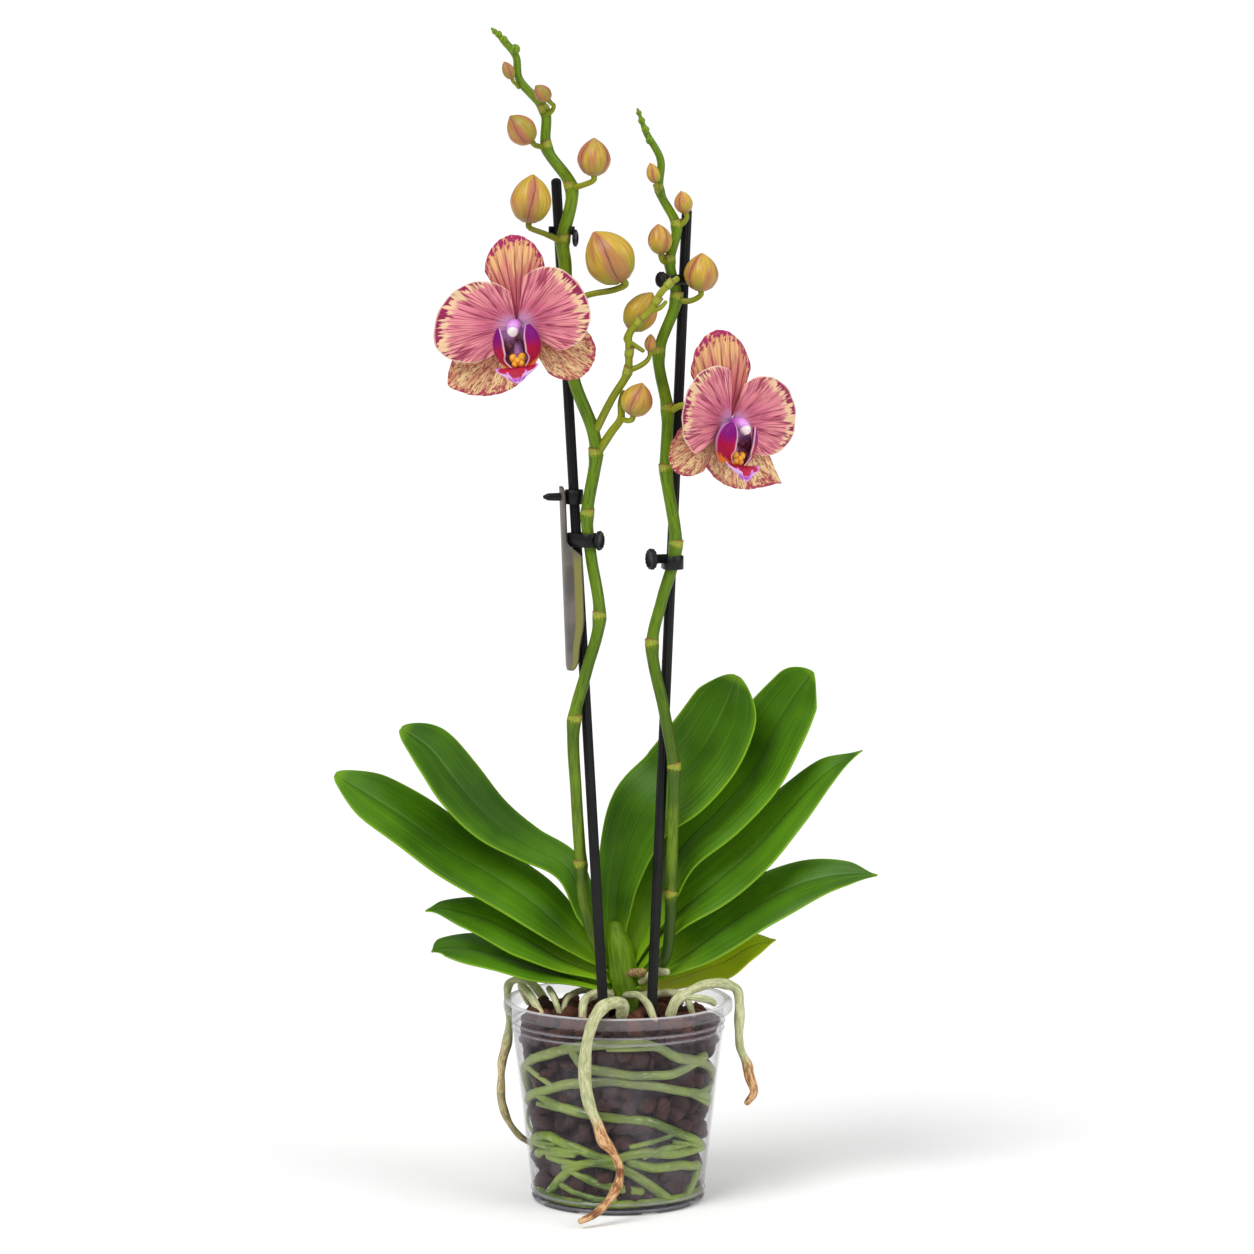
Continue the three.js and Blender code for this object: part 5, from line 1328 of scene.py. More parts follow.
# %% Lines of the leaves
LEAVES = {
    "left_1": {
        "hand": 1, "near": (-0.44, -0.8, -0.41), "channel": 45, "trough": 11,
        "line": [
            (-1.5, 3.5, 124, 6), (-9, 6.5, 134, 9), (-17.2, 8.5, 149, 11), (-26.9, 9.3, 172, 12),
            (-47.9, 8.9, 184.1, 14), (-67.4, 8.3, 197.7, 17.8), (-84.8, 8.4, 216.4, 20),
            (-99.4, 8.5, 235.2, 17.5), (-113.4, 7.6, 246.2, 13),
        ],
    },
    "left_2": {
        "hand": 1, "near": (-0.37, -0.76, -0.53), "channel": 45, "trough": 12,
        "line": [
            (-2.6, 1.5, 119, 6), (-14, 3.8, 127, 10.5), (-28.9, 4.5, 139.9, 15),
            (-43.7, 3.7, 153.3, 18.4), (-61.8, 3.7, 165.9, 19.5), (-88.6, 3.7, 181.9, 20.3),
            (-109.6, 3.6, 197, 19.6), (-130, 3.1, 210.9, 17), (-147.6, 2.2, 222.8, 11),
        ],
    },
    "left_3": {
        "hand": 1, "near": (-0.21, -0.77, -0.6), "channel": 40, "trough": 10,
        "line": [
            (-3.4, 0.8, 114.5, 6), (-28.9, 2.6, 124.1, 12.5), (-48, 0.8, 135.9, 15.3),
            (-64.6, 0, 144.5, 14.1), (-80, -0.2, 149.7, 10.7), (-91.2, -1.1, 152.3, 5.6),
            (-100.3, -2.5, 151.5, 1.2),
        ],
    },
    "left_4": {
        "hand": 1, "near": (-0.07, -0.85, -0.51), "channel": 36, "trough": 8,
        "line": [
            (-3.4, -0.8, 109, 6), (-26.2, 0.5, 116.2, 10.6), (-44.7, -0.2, 122, 12.8),
            (-61.8, -0.9, 127.2, 13.7), (-78.6, -1.4, 131.1, 12.2), (-92, -2.2, 131.6, 6.9),
            (-97.1, -4.5, 130.5, 1.4),
        ],
    },
    "right_1": {
        "hand": -1, "near": (0.73, -0.55, -0.41), "channel": 45, "trough": 10,
        "line": [
            (1.6, 3, 124, 7), (-0.4, 5.5, 135, 9), (-0.6, 7.6, 150, 11), (2.4, 7.6, 172.1, 14.5),
            (13.8, 6.5, 202.6, 20.8), (31, 6.2, 218.1, 23.8), (47, 5.7, 237.2, 24),
            (57.8, 5, 259.1, 20.5), (62.2, 2.1, 274.4, 15),
        ],
    },
    "right_2": {
        "hand": -1, "near": (0.63, -0.65, -0.42), "channel": 45, "trough": 12,
        "line": [
            (5, 4.5, 119.5, 8), (19.5, 11.4, 148.9, 16), (31.8, 11.4, 180.1, 17.5),
            (53.2, 11, 202.8, 20.5), (71.7, 10.7, 224.5, 22), (82.9, 10.7, 245.9, 22),
            (95, 8.8, 265.8, 16.5), (101.5, 4.1, 276, 10.5),
        ],
    },
    "right_3": {
        "hand": -1, "near": (0.46, -0.75, -0.48), "channel": 36, "trough": 13,
        "line": [
            (6, 2.5, 115.5, 7), (28.9, 7.2, 145.6, 15), (51.9, 6.3, 165.1, 18),
            (72.9, 5.7, 183.8, 18.2), (90.4, 5, 203.8, 15.2), (108.7, 2, 223.3, 9.4),
            (127, -1.4, 235.9, 1.4),
        ],
    },
    "right_4": {
        "hand": -1, "near": (0.26, -0.77, -0.58), "channel": 40, "trough": 10,
        "line": [
            (6.4, 0.5, 110.5, 7), (34.6, 5, 125.6, 15.5), (54.3, 2.9, 140.4, 18),
            (76.2, 1.8, 155.1, 18), (98.4, 0, 165.8, 14.8), (119.6, -2.9, 170.6, 8.4),
            (134.9, -6.5, 171.1, 1.4),
        ],
    },
    "right_5": {
        "hand": -1, "near": (0.29, -0.65, -0.7), "channel": 36, "trough": 10,
        "line": [
            (6.6, 2, 106.8, 5), (37.8, 10.2, 115.5, 8.6), (55.9, 11.4, 122, 10.6),
            (70, 9.7, 130.7, 8), (82.7, 7.6, 134.6, 1.4),
        ],
    },
}
print("leaves:", len(LEAVES), "lines")

# %% Leaves
LEAF_THICKNESS = 1.8
LEAF_TIP_SHARE = 0.16  # the last share of a leaf, over which its tip rounds off
LEAF_ROWS, LEAF_COLUMNS = 84, 24
OLD_LEAF = "right_5"
CREASE_DEPTH, KEEL_DEPTH = 0.35, 0.5
RIPPLE = 0.5  # how far the edge of a leaf waves up and down


def tip_share(t):
    """A leaf keeps its width until near its end, then rounds off like the end of an ellipse."""
    past = min(max((t - 1 + LEAF_TIP_SHARE) / LEAF_TIP_SHARE, 0), 0.9995)
    return math.sqrt(1 - past ** 2)


def leaf(name, form, seed):
    line = np.array([point[:3] for point in form["line"]], float)
    widths = [point[3] for point in form["line"]]
    across = np.linspace(-1, 1, LEAF_COLUMNS + 1)
    middle = np.zeros((LEAF_ROWS + 1, LEAF_COLUMNS + 1, 3))
    grain = np.zeros_like(middle)
    thickness = np.zeros(middle.shape[:2])
    for i in range(LEAF_ROWS + 1):
        t = 0.9985 * (1 - (1 - i / LEAF_ROWS) ** 1.7)
        ahead = line_direction(line, t)
        side = square_to(ahead, np.array(form["near"]))
        up = np.cross(ahead, side) * form["hand"]
        fold = lerp(form["channel"], form["trough"], smooth(t, 0, 0.4)) * DEG
        reach = value_along(widths, t) * tip_share(t) * np.abs(across)
        lift = reach * math.sin(fold) * (1 - 0.35 * np.abs(across))
        lift = lift + RIPPLE * np.sin(t * 17 + seed) * across ** 4 * min(4 * t, 1)
        aside = np.sign(across) * reach * math.cos(fold)
        middle[i] = line_point(line, t) + aside[:, None] * side + lift[:, None] * up
        grain[i] = np.column_stack([np.full(len(across), t), across, np.ones(len(across))])
        thickness[i] = LEAF_THICKNESS * (1 - 0.62 * np.abs(across) ** 3)
        thickness[i] *= lerp(1, 0.5, smooth(t, 0.75, 1))
    crease = CREASE_DEPTH * np.exp(-(across / 0.05) ** 2)
    keel = KEEL_DEPTH * np.exp(-(across / 0.06) ** 2)
    above, below = thickness / 2 - crease, thickness / 2 + keel
    skin = Skin()
    if form["hand"] > 0:
        skin.blade(middle, above, below, grain, faces=(1, -1))
    else:
        skin.blade(middle, below, above, grain, faces=(-1, 1))
    finish, slot = (leaf_yellow, "leaf_old") if name == OLD_LEAF else (leaf_green, "leaf")
    make(f"leaf_blade_{name}", skin, [finish], [f"leaf_{name}"], slot)


for k, (name, form) in enumerate(LEAVES.items()):
    leaf(name, form, 1.9 * k)
print("leaves:", len(LEAVES), "and the yellowing one is", OLD_LEAF)

# %% [markdown]
# ## Petals and sepals
#
# An open flower has three sepals at the back, two broad petals over them, and a lip in front. The
# colour is a landscape of its own: rose petals with fine darker veins that fan out from the claw,
# a cream zone towards the tip, and magenta flames that run in from the rim. All of it is painted
# from two numbers, how far out and how far across the fan a point is. Veins follow the rays
# because the noise is stretched along them.

# %% Petal finish
def petal_finish():
    f = Finish("rose petal", Subsurface_Weight=0.08, Sheen_Weight=0.05, Specular_IOR_Level=0.3)
    f.translucent(2.0, (1.0, 0.35, 0.3))
    out, across, face = f.grain()
    seed = f.times(f.height(), 1.5)
    coarse = f.lines(f.stretched(across, 11.0, out, 0.8, seed), 0.05)
    fine = f.lines(f.stretched(across, 33.0, out, 2.0, seed), 0.11)
    wash = f.noise(f.stretched(across, 1.5, out, 1.5, seed), 2.0)
    base = f.mix(f.step(out, 0.05, 0.8), "dc6288", "f09a9c")
    base = f.tinted(base, "de6e96", wash, 0.4, 0.65, 0.4)
    base = f.mix(f.times(fine, f.step(out, 0.12, 0.4, 0.0, 0.65)), base, "a02a56")
    base = f.mix(f.times(coarse, f.step(out, 0.0, 0.3, 0.4, 0.9)), base, "8e1a48")
    base = f.mix(f.step(out, 0.04, 0.33, 0.95, 0.0), base, "f8c6f6")
    outer = f.step(f.sum("ABSOLUTE", across), 0.25, 0.95, 1.0, 0.0)
    patchy = f.noise(f.vector(f.times(across, 3.2), 0.0, seed), 1.5, 1.0)
    near_tip = f.plus(f.plus(out, f.times(outer, 0.2)), f.times(f.plus(patchy, -0.5), 0.16))
    ragged = f.noise(f.stretched(across, 19.0, out, 2.6, seed))
    cream = f.step(f.plus(near_tip, f.times(ragged, 0.36)), 1.18, 1.26)
    base = f.mix(f.times(cream, 0.85), base, "f3d2a2")
    flame = f.noise(f.stretched(across, 24.0, out, 3.4, f.plus(seed, 4.0)))
    base = f.mix(f.step(f.plus(near_tip, f.times(flame, 0.62)), 1.41, 1.45), base, "961552")
    base = f.tinted(base, "f3d3bd", out, 0.975, 0.99, 0.7)
    base = f.mix(f.step(face, -0.1, 0.1, 0.45, 0.0), base, "e3a39a")
    f.bump(f.plus(fine, coarse), -0.12)
    return f.done(base, wash, 0.45, 0.58)


rose_petal = petal_finish()

# %% [markdown]
# The top sepal has dark stripes along almost its whole length, on rose that warms to apricot. The
# stripes are a cosine across the fan, made to wander by a little noise, because a noise alone would
# not keep their even gaps.

# %% Striped sepal finish
def top_sepal_finish():
    f = Finish("striped sepal", Subsurface_Weight=0.08, Specular_IOR_Level=0.3)
    f.translucent(2.0, (1.0, 0.45, 0.3))
    out, across, face = f.grain()
    seed = f.times(f.height(), 1.5)
    off = f.sum("ABSOLUTE", across)
    wobble = f.noise(f.stretched(across, 3.0, out, 2.0, seed), 2.0)
    teeth = f.noise(f.stretched(across, 14.0, out, 2.0, seed))
    base = f.mix(f.step(out, 0.1, 0.8), "d66684", "e2937c")
    tongue = f.plus(f.plus(out, f.times(teeth, 0.7)), f.times(off, -0.3))
    base = f.tinted(base, "efbf7e", tongue, 0.88, 1.02, 0.85)
    stripe = f.sum("COSINE", f.times(f.plus(across, f.times(f.plus(wobble, -0.5), 0.12)), 25.0))
    stripe = f.times(f.step(stripe, 0.45, 0.95), f.step(out, 0.95, 0.7, 0.3, 1.0))
    base = f.mix(f.times(stripe, 0.8), base, "862537")
    fine = f.lines(f.stretched(across, 13.0, out, 2.0, seed), 0.1)
    base = f.mix(f.times(fine, 0.5), base, "a8404f")
    flame = f.noise(f.stretched(across, 15.0, out, 12.0, f.plus(seed, 2.0)), 1.0, 3.0, 0.65)
    rim = f.sum("MAXIMUM", out, f.times(off, 0.99))
    base = f.mix(f.step(f.plus(rim, f.times(flame, 0.62)), 1.22, 1.27), base, "a3205a")
    base = f.mix(f.step(out, 0.0, 0.12, 0.6, 0.0), base, "d79be0")
    base = f.mix(f.step(face, -0.1, 0.1, 0.4, 0.0), base, "dd9a86")
    f.bump(f.plus(fine, stripe), -0.1)
    return f.done(base, wobble, 0.45, 0.58)


top_sepal = top_sepal_finish()

# %% [markdown]
# The two low sepals are apricot, with small crimson speckles that are thickest near the claw. The
# speckles are one fine noise with a sharp limit, and the limit changes on the way out.

# %% Speckled sepal finish
def low_sepal_finish():
    f = Finish("speckled sepal", Subsurface_Weight=0.08, Specular_IOR_Level=0.3)
    f.translucent(2.0, (1.0, 0.5, 0.3))
    out, across, face = f.grain()
    seed = f.times(f.height(), 1.5)
    base = f.mix(f.step(out, 0.05, 0.7), "c18a44", "f2cf98")
    wash = f.noise(f.stretched(across, 2.5, out, 1.6, seed), 1.6)
    base = f.tinted(base, "cf7f66", wash, 0.42, 0.66, 0.7)
    speckle = f.noise(f.stretched(across, 30.0, out, 20.0, seed), 1.0, 2.0, 0.6)
    dense = f.step(out, 0.1, 0.9, 0.09, -0.02)
    base = f.tinted(base, "8a3026", f.plus(speckle, dense), 0.51, 0.57, 0.8)
    fine = f.lines(f.stretched(across, 17.0, out, 2.4, seed), 0.09)
    base = f.mix(f.times(fine, 0.55), base, "9c3a40")
    flame = f.noise(f.stretched(across, 13.0, out, 11.0, f.plus(seed, 2.0)), 1.0, 3.0, 0.65)
    rim = f.sum("MAXIMUM", out, f.times(f.sum("ABSOLUTE", across), 0.97))
    base = f.tinted(base, "a8244f", f.plus(rim, f.times(flame, 0.7)), 1.29, 1.33, 0.9)
    base = f.mix(f.step(face, -0.1, 0.1, 0.4, 0.0), base, "d59a72")
    f.bump(fine, -0.1)
    return f.done(base, wash, 0.45, 0.58)


low_sepal = low_sepal_finish()

# %% [markdown]
# Each petal is a fan of rays from its narrow claw. A ray's reach falls off towards the sides of the
# fan, which rounds the outline, and the depth along a ray cups the petal. A little unevenness along
# the rim keeps it from looking stamped.

# %% A fan of rays
PETAL = {"spread": 60, "length": 43, "drop": 0.52, "power": 2.3, "lift": 12, "curl": 5,
         "wave": 0.8}
SEPAL = {"spread": 30, "length": 47, "drop": 0.31, "power": 1.8, "lift": 3, "curl": 2.2,
         "back": -3.4}
CLAW = 2.4  # how far from the flower's middle the rays start
PETAL_THICKNESS = 0.7


def fan(skin, form, rays, steps, finish=0, seed=0.0):
    across = np.linspace(-1, 1, rays + 1)
    skew = form.get("skew", 0)
    off = np.abs(across - skew) / (1 + np.sign(skew - across) * skew)
    reach = form["length"] * (1 - form["drop"] * off ** form["power"])
    rim = 1 + 0.003 * np.sin(across * 23 + seed) + 0.002 * np.sin(across * 47 + 2 * seed)
    middle = np.zeros((steps + 1, rays + 1, 3))
    grain = np.zeros_like(middle)
    for i in range(steps + 1):
        share_out = (i / steps) ** 0.8
        r = lerp(CLAW, reach * lerp(1, rim, share_out ** 3), share_out)
        share = r / form["length"]
        flare = 1 + form.get("flare", 0) * (1 - share_out) ** 1.5
        direction = (form["angle"] + across * form["spread"] * flare) * DEG
        depth = (form.get("back", 0) + r * math.sin(form["lift"] * DEG) - form["curl"] * share ** 2
                 + form.get("wave", 0) * np.sin(across * 5) * share ** 3
                 + 0.35 * np.sin(across * 19 + seed) * share_out ** 6)
        middle[i] = np.column_stack([r * np.cos(direction), r * np.sin(direction), depth])
        grain[i] = np.column_stack([r / reach, across, np.ones(rays + 1)])
    half = PETAL_THICKNESS / 2 * (1 - 0.55 * grain[..., 0] ** 2)
    skin.blade(middle, half, half, grain, finish=finish)


print("a petal is", PETAL["length"], "mm long and a sepal", SEPAL["length"])

# %% Petals and sepals
RAYS, SEPAL_STEPS, PETAL_STEPS = 64, 30, 36
HUB_RADIUS = 3.1


def hub(skin, z0, z1):
    """The knot in the middle that the claws grow from."""
    ends = HUB_RADIUS * 0.7
    tube(skin, [(0, 0, z0, ends), (0, 0, (z0 + z1) / 2, HUB_RADIUS), (0, 0, z1, ends)], 20, 4)


def bloom_back(name, bloom):
    skin = Skin()
    hub(skin, -5.4, -2.8)
    for k, form in enumerate(bloom["sepals"]):
        fan(skin, {**SEPAL, **form}, RAYS, SEPAL_STEPS, finish=0 if k == 0 else 1, seed=k * 2.1)
    skin.place(bloom_turn(bloom), np.array(bloom["centre"]))
    make(f"{name}_bloom_sepals", skin, [top_sepal, low_sepal], [f"bloom_{name}_sepals"], "sepal")
    skin = Skin()
    hub(skin, -1.1, 1.4)
    for k, form in enumerate(bloom["petals"]):
        fan(skin, {**PETAL, **form}, RAYS, PETAL_STEPS, seed=k * 3.3)
    skin.place(bloom_turn(bloom), np.array(bloom["centre"]))
    make(f"{name}_bloom_petals", skin, [rose_petal], [f"bloom_{name}_petals"], "petal")


for name, bloom in BLOOMS.items():
    bloom_back(name, bloom)
print("blooms:", len(BLOOMS), "with", len(BLOOMS) * 5, "petals and sepals")

# %% [markdown]
# ## Column and lip
#
# The lip is the flower's landing place: two side lobes, purple above and crimson below, that close
# like cupped hands round an orange callus, and a crimson lobe in front with pale raised corners.
# Over it stands the column, a short lilac post with a white cap. Each lobe is a thin blade bent by
# a formula, because it is a single curved sheet.

# %% Finishes of the lobes
def wing_finish():
    f = Finish("lip wing", Specular_IOR_Level=0.15)
    rise, back, face = f.grain()
    wash = f.noise(f.stretched(rise, 3.0, back, 3.0, f.height()), 1.6)
    level = f.plus(rise, f.times(f.plus(wash, -0.5), 0.3))
    outer = f.mix(f.step(level, 0.4, 0.8), "a80434", "7a0478")
    streak = f.lines(f.stretched(back, 5.0, rise, 1.4, 3.0), 0.08)
    outer = f.mix(f.times(streak, 0.35), outer, "6f0f46")
    outer = f.tinted(outer, "c892cc", back, 0.4, 0.75, 0.85)
    low = f.step(f.plus(level, f.times(back, -0.1)), 0.24, 0.1)
    outer = f.mix(f.times(low, 0.85), outer, "ec7f2c")
    inner = f.mix(f.step(wash, 0.35, 0.65), "983c68", "d092b0")
    base = f.mix(f.step(face, -0.1, 0.1), inner, outer)
    base = f.tinted(base, "f0c3d6", back, -0.87, -0.96, 0.75)
    f.bump(streak, 0.1)
    return f.done(base, wash, 0.38, 0.52)


def front_lobe_finish():
    f = Finish("lip front")
    out, across, face = f.grain()
    wash = f.noise(f.stretched(out, 3.0, across, 4.0, f.height()), 1.5)
    base = f.mix(f.step(wash, 0.35, 0.65), "c4123f", "a50d3a")
    off = f.sum("ABSOLUTE", across)
    base = f.mix(f.step(f.plus(out, f.times(wash, 0.16)), 0.8, 0.95), base, "d9a4e2")
    base = f.mix(f.times(f.step(off, 0.86, 0.98), f.step(out, 0.35, 0.6)), base, "d190dc")
    base = f.mix(f.step(face, -0.1, 0.1, 0.9, 0.0), base, "dcb0e0")
    f.bump(wash, 0.2)
    return f.done(base, wash, 0.35, 0.5)


lobe_skins = wing_finish(), front_lobe_finish()

# %% [markdown]
# The callus is orange with red dots, the throat behind it is dark and mottled, and the column is
# lilac with a creamy cap. They are small, so two or three layers each are enough.

# %% Finishes of the callus, throat and column
def callus_finish():
    f = Finish("orange callus")
    spots = f.cloud(900.0)
    base = f.mix(f.step(spots, 0.4, 0.62), "f39a1c", "f7bd3c")
    base = f.tinted(base, "a3381e", spots, 0.62, 0.7, 0.7)
    f.bump(spots, 0.3)
    return f.done(base, spots, 0.3, 0.45)


def throat_finish():
    f = Finish("dark throat")
    mottle = f.cloud(500.0)
    base = f.mix(f.step(mottle, 0.35, 0.65), "58142e", "96506a")
    base = f.tinted(base, "b77cc2", f.grain()[0], 0.5, 0.85, 0.85)
    f.bump(mottle, 0.2)
    return f.done(base, mottle, 0.4, 0.6)


def column_finish():
    f = Finish("lilac column", Subsurface_Weight=0.15)
    f.translucent(2.0)
    along, around, over = f.grain()
    wash = f.noise(f.vector(f.times(along, 2.0), around, over), 1.5)
    base = f.mix(f.step(along, 0.1, 0.9), "b74cc4", "d694de")
    base = f.tinted(base, "b55acb", wash, 0.5, 0.75, 0.5)
    f.bump(wash, 0.1)
    return f.done(base, wash, 0.3, 0.45)


def cap_finish():
    f = Finish("white cap", Subsurface_Weight=0.2)
    f.translucent(2.0)
    tint = f.cloud(420.0)
    f.bump(tint, 0.15)
    return f.done(f.mix(f.step(tint, 0.35, 0.7), "efe6dc", "e2cbd9"), tint, 0.3, 0.42)


callus_skin, throat_skin = callus_finish(), throat_finish()
column_skin, cap_skin = column_finish(), cap_finish()

# %% The cup of the lip
LIP_BOTTOM, LIP_RISE = -20.0, 20.5
LIP_MIDDLE, LIP_DEPTH, LIP_HALF_WIDTH = 7.5, 7.5, 12.2
LOBE_THICKNESS = 0.6
LOBE_TOP_TURN = 68  # the lobe's top end, in degrees round the cup


def cup_share(rise):
    """How far the cup of the lip reaches sideways at a height, 0 at its foot and 1 at its top."""
    return math.sin(math.pi * (0.17 + 0.62 * rise)) ** 0.75


def side_lobe(skin, hand, finish):
    """Part of an upright cup, open in front between its free edge and the other lobe's."""
    def point(rise, back):
        share = cup_share(rise)
        rounded = math.sqrt(max(1 - (max(rise - 0.6, 0) / 0.42) ** 2, 0))
        free = 26 + 10 * math.sin(math.pi * min(rise / 0.35, 1))
        turn = (LOBE_TOP_TURN + (lerp(free, 110, back) - LOBE_TOP_TURN) * rounded) * DEG
        x = hand * LIP_HALF_WIDTH * share * math.sin(turn)
        z = LIP_MIDDLE + LIP_DEPTH * math.sqrt(share) * math.cos(turn)
        return (x, LIP_BOTTOM + LIP_RISE * rise, z), (rise, 2 * back - 1, 1)

    skin.sheet(34, 20, point, LOBE_THICKNESS, finish, (-hand, hand))


def lip_back(skin, finish):
    """The back of the cup, between the side lobes' rear edges."""
    def point(share_up, share):
        rise, across = 0.95 * share_up, 2 * share - 1
        depth = 3 + 3.4 * (1 - rise) ** 2 + 1.6 * across ** 2
        x = LIP_HALF_WIDTH * cup_share(rise) * 0.93 * across
        return (x, LIP_BOTTOM + LIP_RISE * rise, depth), (rise, across, 1)

    skin.sheet(16, 15, point, LOBE_THICKNESS, finish, (-1, 1))


print("the lip's cup is", 2 * LIP_HALF_WIDTH, "mm wide")

# %% The front lobe
FRONT_WIDTHS = (3.2, 5.5, 9, 11, 9, 3.4)


def front_lobe(skin, finish):
    """A lobe that is narrow where it leaves the cup and has raised corners."""
    def point(t, share):
        across = 2 * share - 1
        lift = 4.2 * across ** 2 * float(smooth(t, 0.15, 0.6))
        x = value_along(FRONT_WIDTHS, t) * across
        return (x, -18.5 - 8.5 * t + lift, 8.5 + 12 * t), (t, across, 1)

    skin.sheet(26, 21, point, LOBE_THICKNESS, finish)


print("the front lobe is", 2 * max(FRONT_WIDTHS), "mm wide")

# %% Lips and columns
LIP_FOOT = [(0, -2.8, 2.5, 1.2), (0, -9.5, 4.6, 2), (0, -17, 7.4, 3.2)]
HORN = [(1, -26, 19.6, 1), (3.4, -24.4, 19.4, 1), (5, -21.6, 18, 0.6)]
CALLUS_LUMPS = [(-2.3, -15.2, 10.5, 2.1), (2.3, -15.2, 10.5, 2.1), (-1.6, -18.3, 11, 1.9),
                (1.6, -18.3, 11, 1.9), (0, -16.8, 11.8, 1.8)]
COLUMN = [(0, 0.6, 2.5, 2.2), (0, 0.7, 5.5, 3.1), (0, 0.4, 8.5, 3.5), (0, -0.6, 11, 3.2),
          (0, -2, 12.2, 1.8)]


def ball(skin, x, y, z, radius, flat=1.0, finish=0):
    profile = [(radius * math.sin(a), -radius * flat * math.cos(a))
               for a in np.linspace(0.08, 3.06, 10)]
    turned(skin, profile, (x, y, z), (0, 0, 1), 20, finish=finish)


def lip_and_column(name, bloom):
    turn, centre = bloom_turn(bloom), np.array(bloom["centre"])
    skin = Skin()
    tube(skin, LIP_FOOT, 16, 5, finish=2)
    lip_back(skin, 2)
    for hand in (1, -1):
        side_lobe(skin, hand, 0)
        tube(skin, [(hand * x, y, z, radius) for x, y, z, radius in HORN], 12, 6, finish=4)
    front_lobe(skin, 1)
    for x, y, z, radius in CALLUS_LUMPS:
        ball(skin, x, y, z, radius, finish=3)
    ball(skin, 0, -16.6, 9.2, 3.4, 0.9, finish=2)
    skin.place(turn @ about_z(bloom["sway"] * DEG), centre)
    finishes = [*lobe_skins, throat_skin, callus_skin, column_skin]
    make(f"{name}_bloom_lip", skin, finishes, [f"bloom_{name}_lip"], "lip")
    skin = Skin()
    tube(skin, COLUMN, 20, 6)
    ball(skin, 0, -1.7, 12.1, 2.9, 0.9, finish=1)
    skin.place(turn, centre)
    finishes = [column_skin, cap_skin]
    make(f"{name}_bloom_column", skin, finishes, [f"bloom_{name}_column"], "column")


for name, bloom in BLOOMS.items():
    lip_and_column(name, bloom)
print("lips and columns:", len(BLOOMS))

# %% [markdown]
# ## Stakes, clips and label
#
# The plant came with black plastic stakes, grooved lengthwise. Small clips hold the stems to them:
# a loop round stake and stem with a ribbed button at one end. A blank tag hangs from a peg. All are
# moulded plastic, so their edges are rounded and their surface has a fine satin grain.

# %% Plastic finishes
def plastic_finish():
    f = Finish("black moulded plastic", Specular_IOR_Level=0.3)
    grain = f.cloud(1500.0)
    cloud = f.cloud(60.0)
    base = f.mix(f.step(cloud, 0.35, 0.65), "080708", "121113")
    f.bump(grain, 0.03)
    return f.done(base, grain, 0.36, 0.5)


def label_finish():
    f = Finish("tag plastic")
    rise, across, _ = f.grain()
    cloud = f.cloud(70.0, 3.0)
    base = f.mix(f.step(cloud, 0.35, 0.65), "4f4944", "6b645c")
    # An olive patch on the right half of the tag, below its neck: a painted reflection of the
    # leaves on the curved face.
    painted_leaf_reflection = f.times(f.step(across, 0.42, 0.55), f.step(rise, 0.33, 0.42))
    base = f.mix(painted_leaf_reflection, base, "7d7a3c")
    base = f.tinted(base, "2e2927", f.sum("ABSOLUTE", across), 0.93, 0.99, 0.8)
    f.bump(f.cloud(900.0), 0.03)
    return f.done(base, cloud, 0.28, 0.4)


black_plastic = plastic_finish()

# %% Stakes
STAKES = {
    "left": {"low": (-7.7, -24, 107), "top": (-31.8, 4, 531.4)},
    "right": {"low": (17.6, -20, 105.2), "top": (35.6, 4, 516.1)},
}
STAKE_RADIUS, STAKE_FOOT = 2.7, 42
STAKE_GROOVES, GROOVE_DEPTH = 9, 0.3


def stake_at(stake, z):
    low, top = np.array(stake["low"], float), np.array(stake["top"], float)
    point = lerp(low, top, (z - low[2]) / (top[2] - low[2]))
    point[2] = z
    return point


def grooves(station, turns):
    return -GROOVE_DEPTH * np.exp(-((1 - np.cos(turns * STAKE_GROOVES)) / 0.5))


for name, stake in STAKES.items():
    skin = Skin()
    levels = (STAKE_FOOT, 200, 350, stake["top"][2] - 2)
    tube(skin, [(*stake_at(stake, z), STAKE_RADIUS) for z in levels], 90, 6, grooves)
    make(f"support_stake_{name}", skin, [black_plastic], [f"stake_{name}"], "black_plastic")
print("stakes:", len(STAKES))

# %% Where the clips sit
CLIPS = {
    "left_lower": {"z": 346, "height": 7, "facing": (1, -0.45, 0), "raise": 0,
                   "neck": 5, "reach": 7, "disc": 9.8, "open": False},
    "left_upper": {"z": 504.5, "height": 4.4, "facing": (1, -0.25, 0), "raise": -3.8,
                   "neck": 5.1, "reach": 6.6, "disc": 8.6, "open": True},
    "right_lower": {"z": 334.6, "height": 7, "facing": (-0.9, -0.44, 0), "raise": 2.2,
                    "neck": 11.2, "reach": 13.8, "disc": 10.5, "open": False},
    "right_upper": {"z": 479.5, "height": 5, "facing": (-0.75, -0.66, 0), "raise": 0,
                    "neck": 6.6, "reach": 9.2, "disc": 8, "open": False},
}


def point_on_spike(chain, z):
    """Where a spike passes a height, found by halving the line again and again."""
    line = np.array(chain, float)[:, :3]
    low, high = 0.0, 1.0
    while high - low > 1e-4:
        middle = (low + high) / 2
        if line_point(line, middle)[2] < z:
            low = middle
        else:
            high = middle
    return line_point(line, low)


print("clips:", ", ".join(CLIPS))

# %% Clips
CLIP_INNER_RADIUS, CLIP_OUTER_RADIUS, CLIP_SOFTNESS = 4.5, 5.4, 0.25
BUTTON_START, BUTTON_NECK = 4.9, 2.4  # how far out the button starts, and the radius of its neck


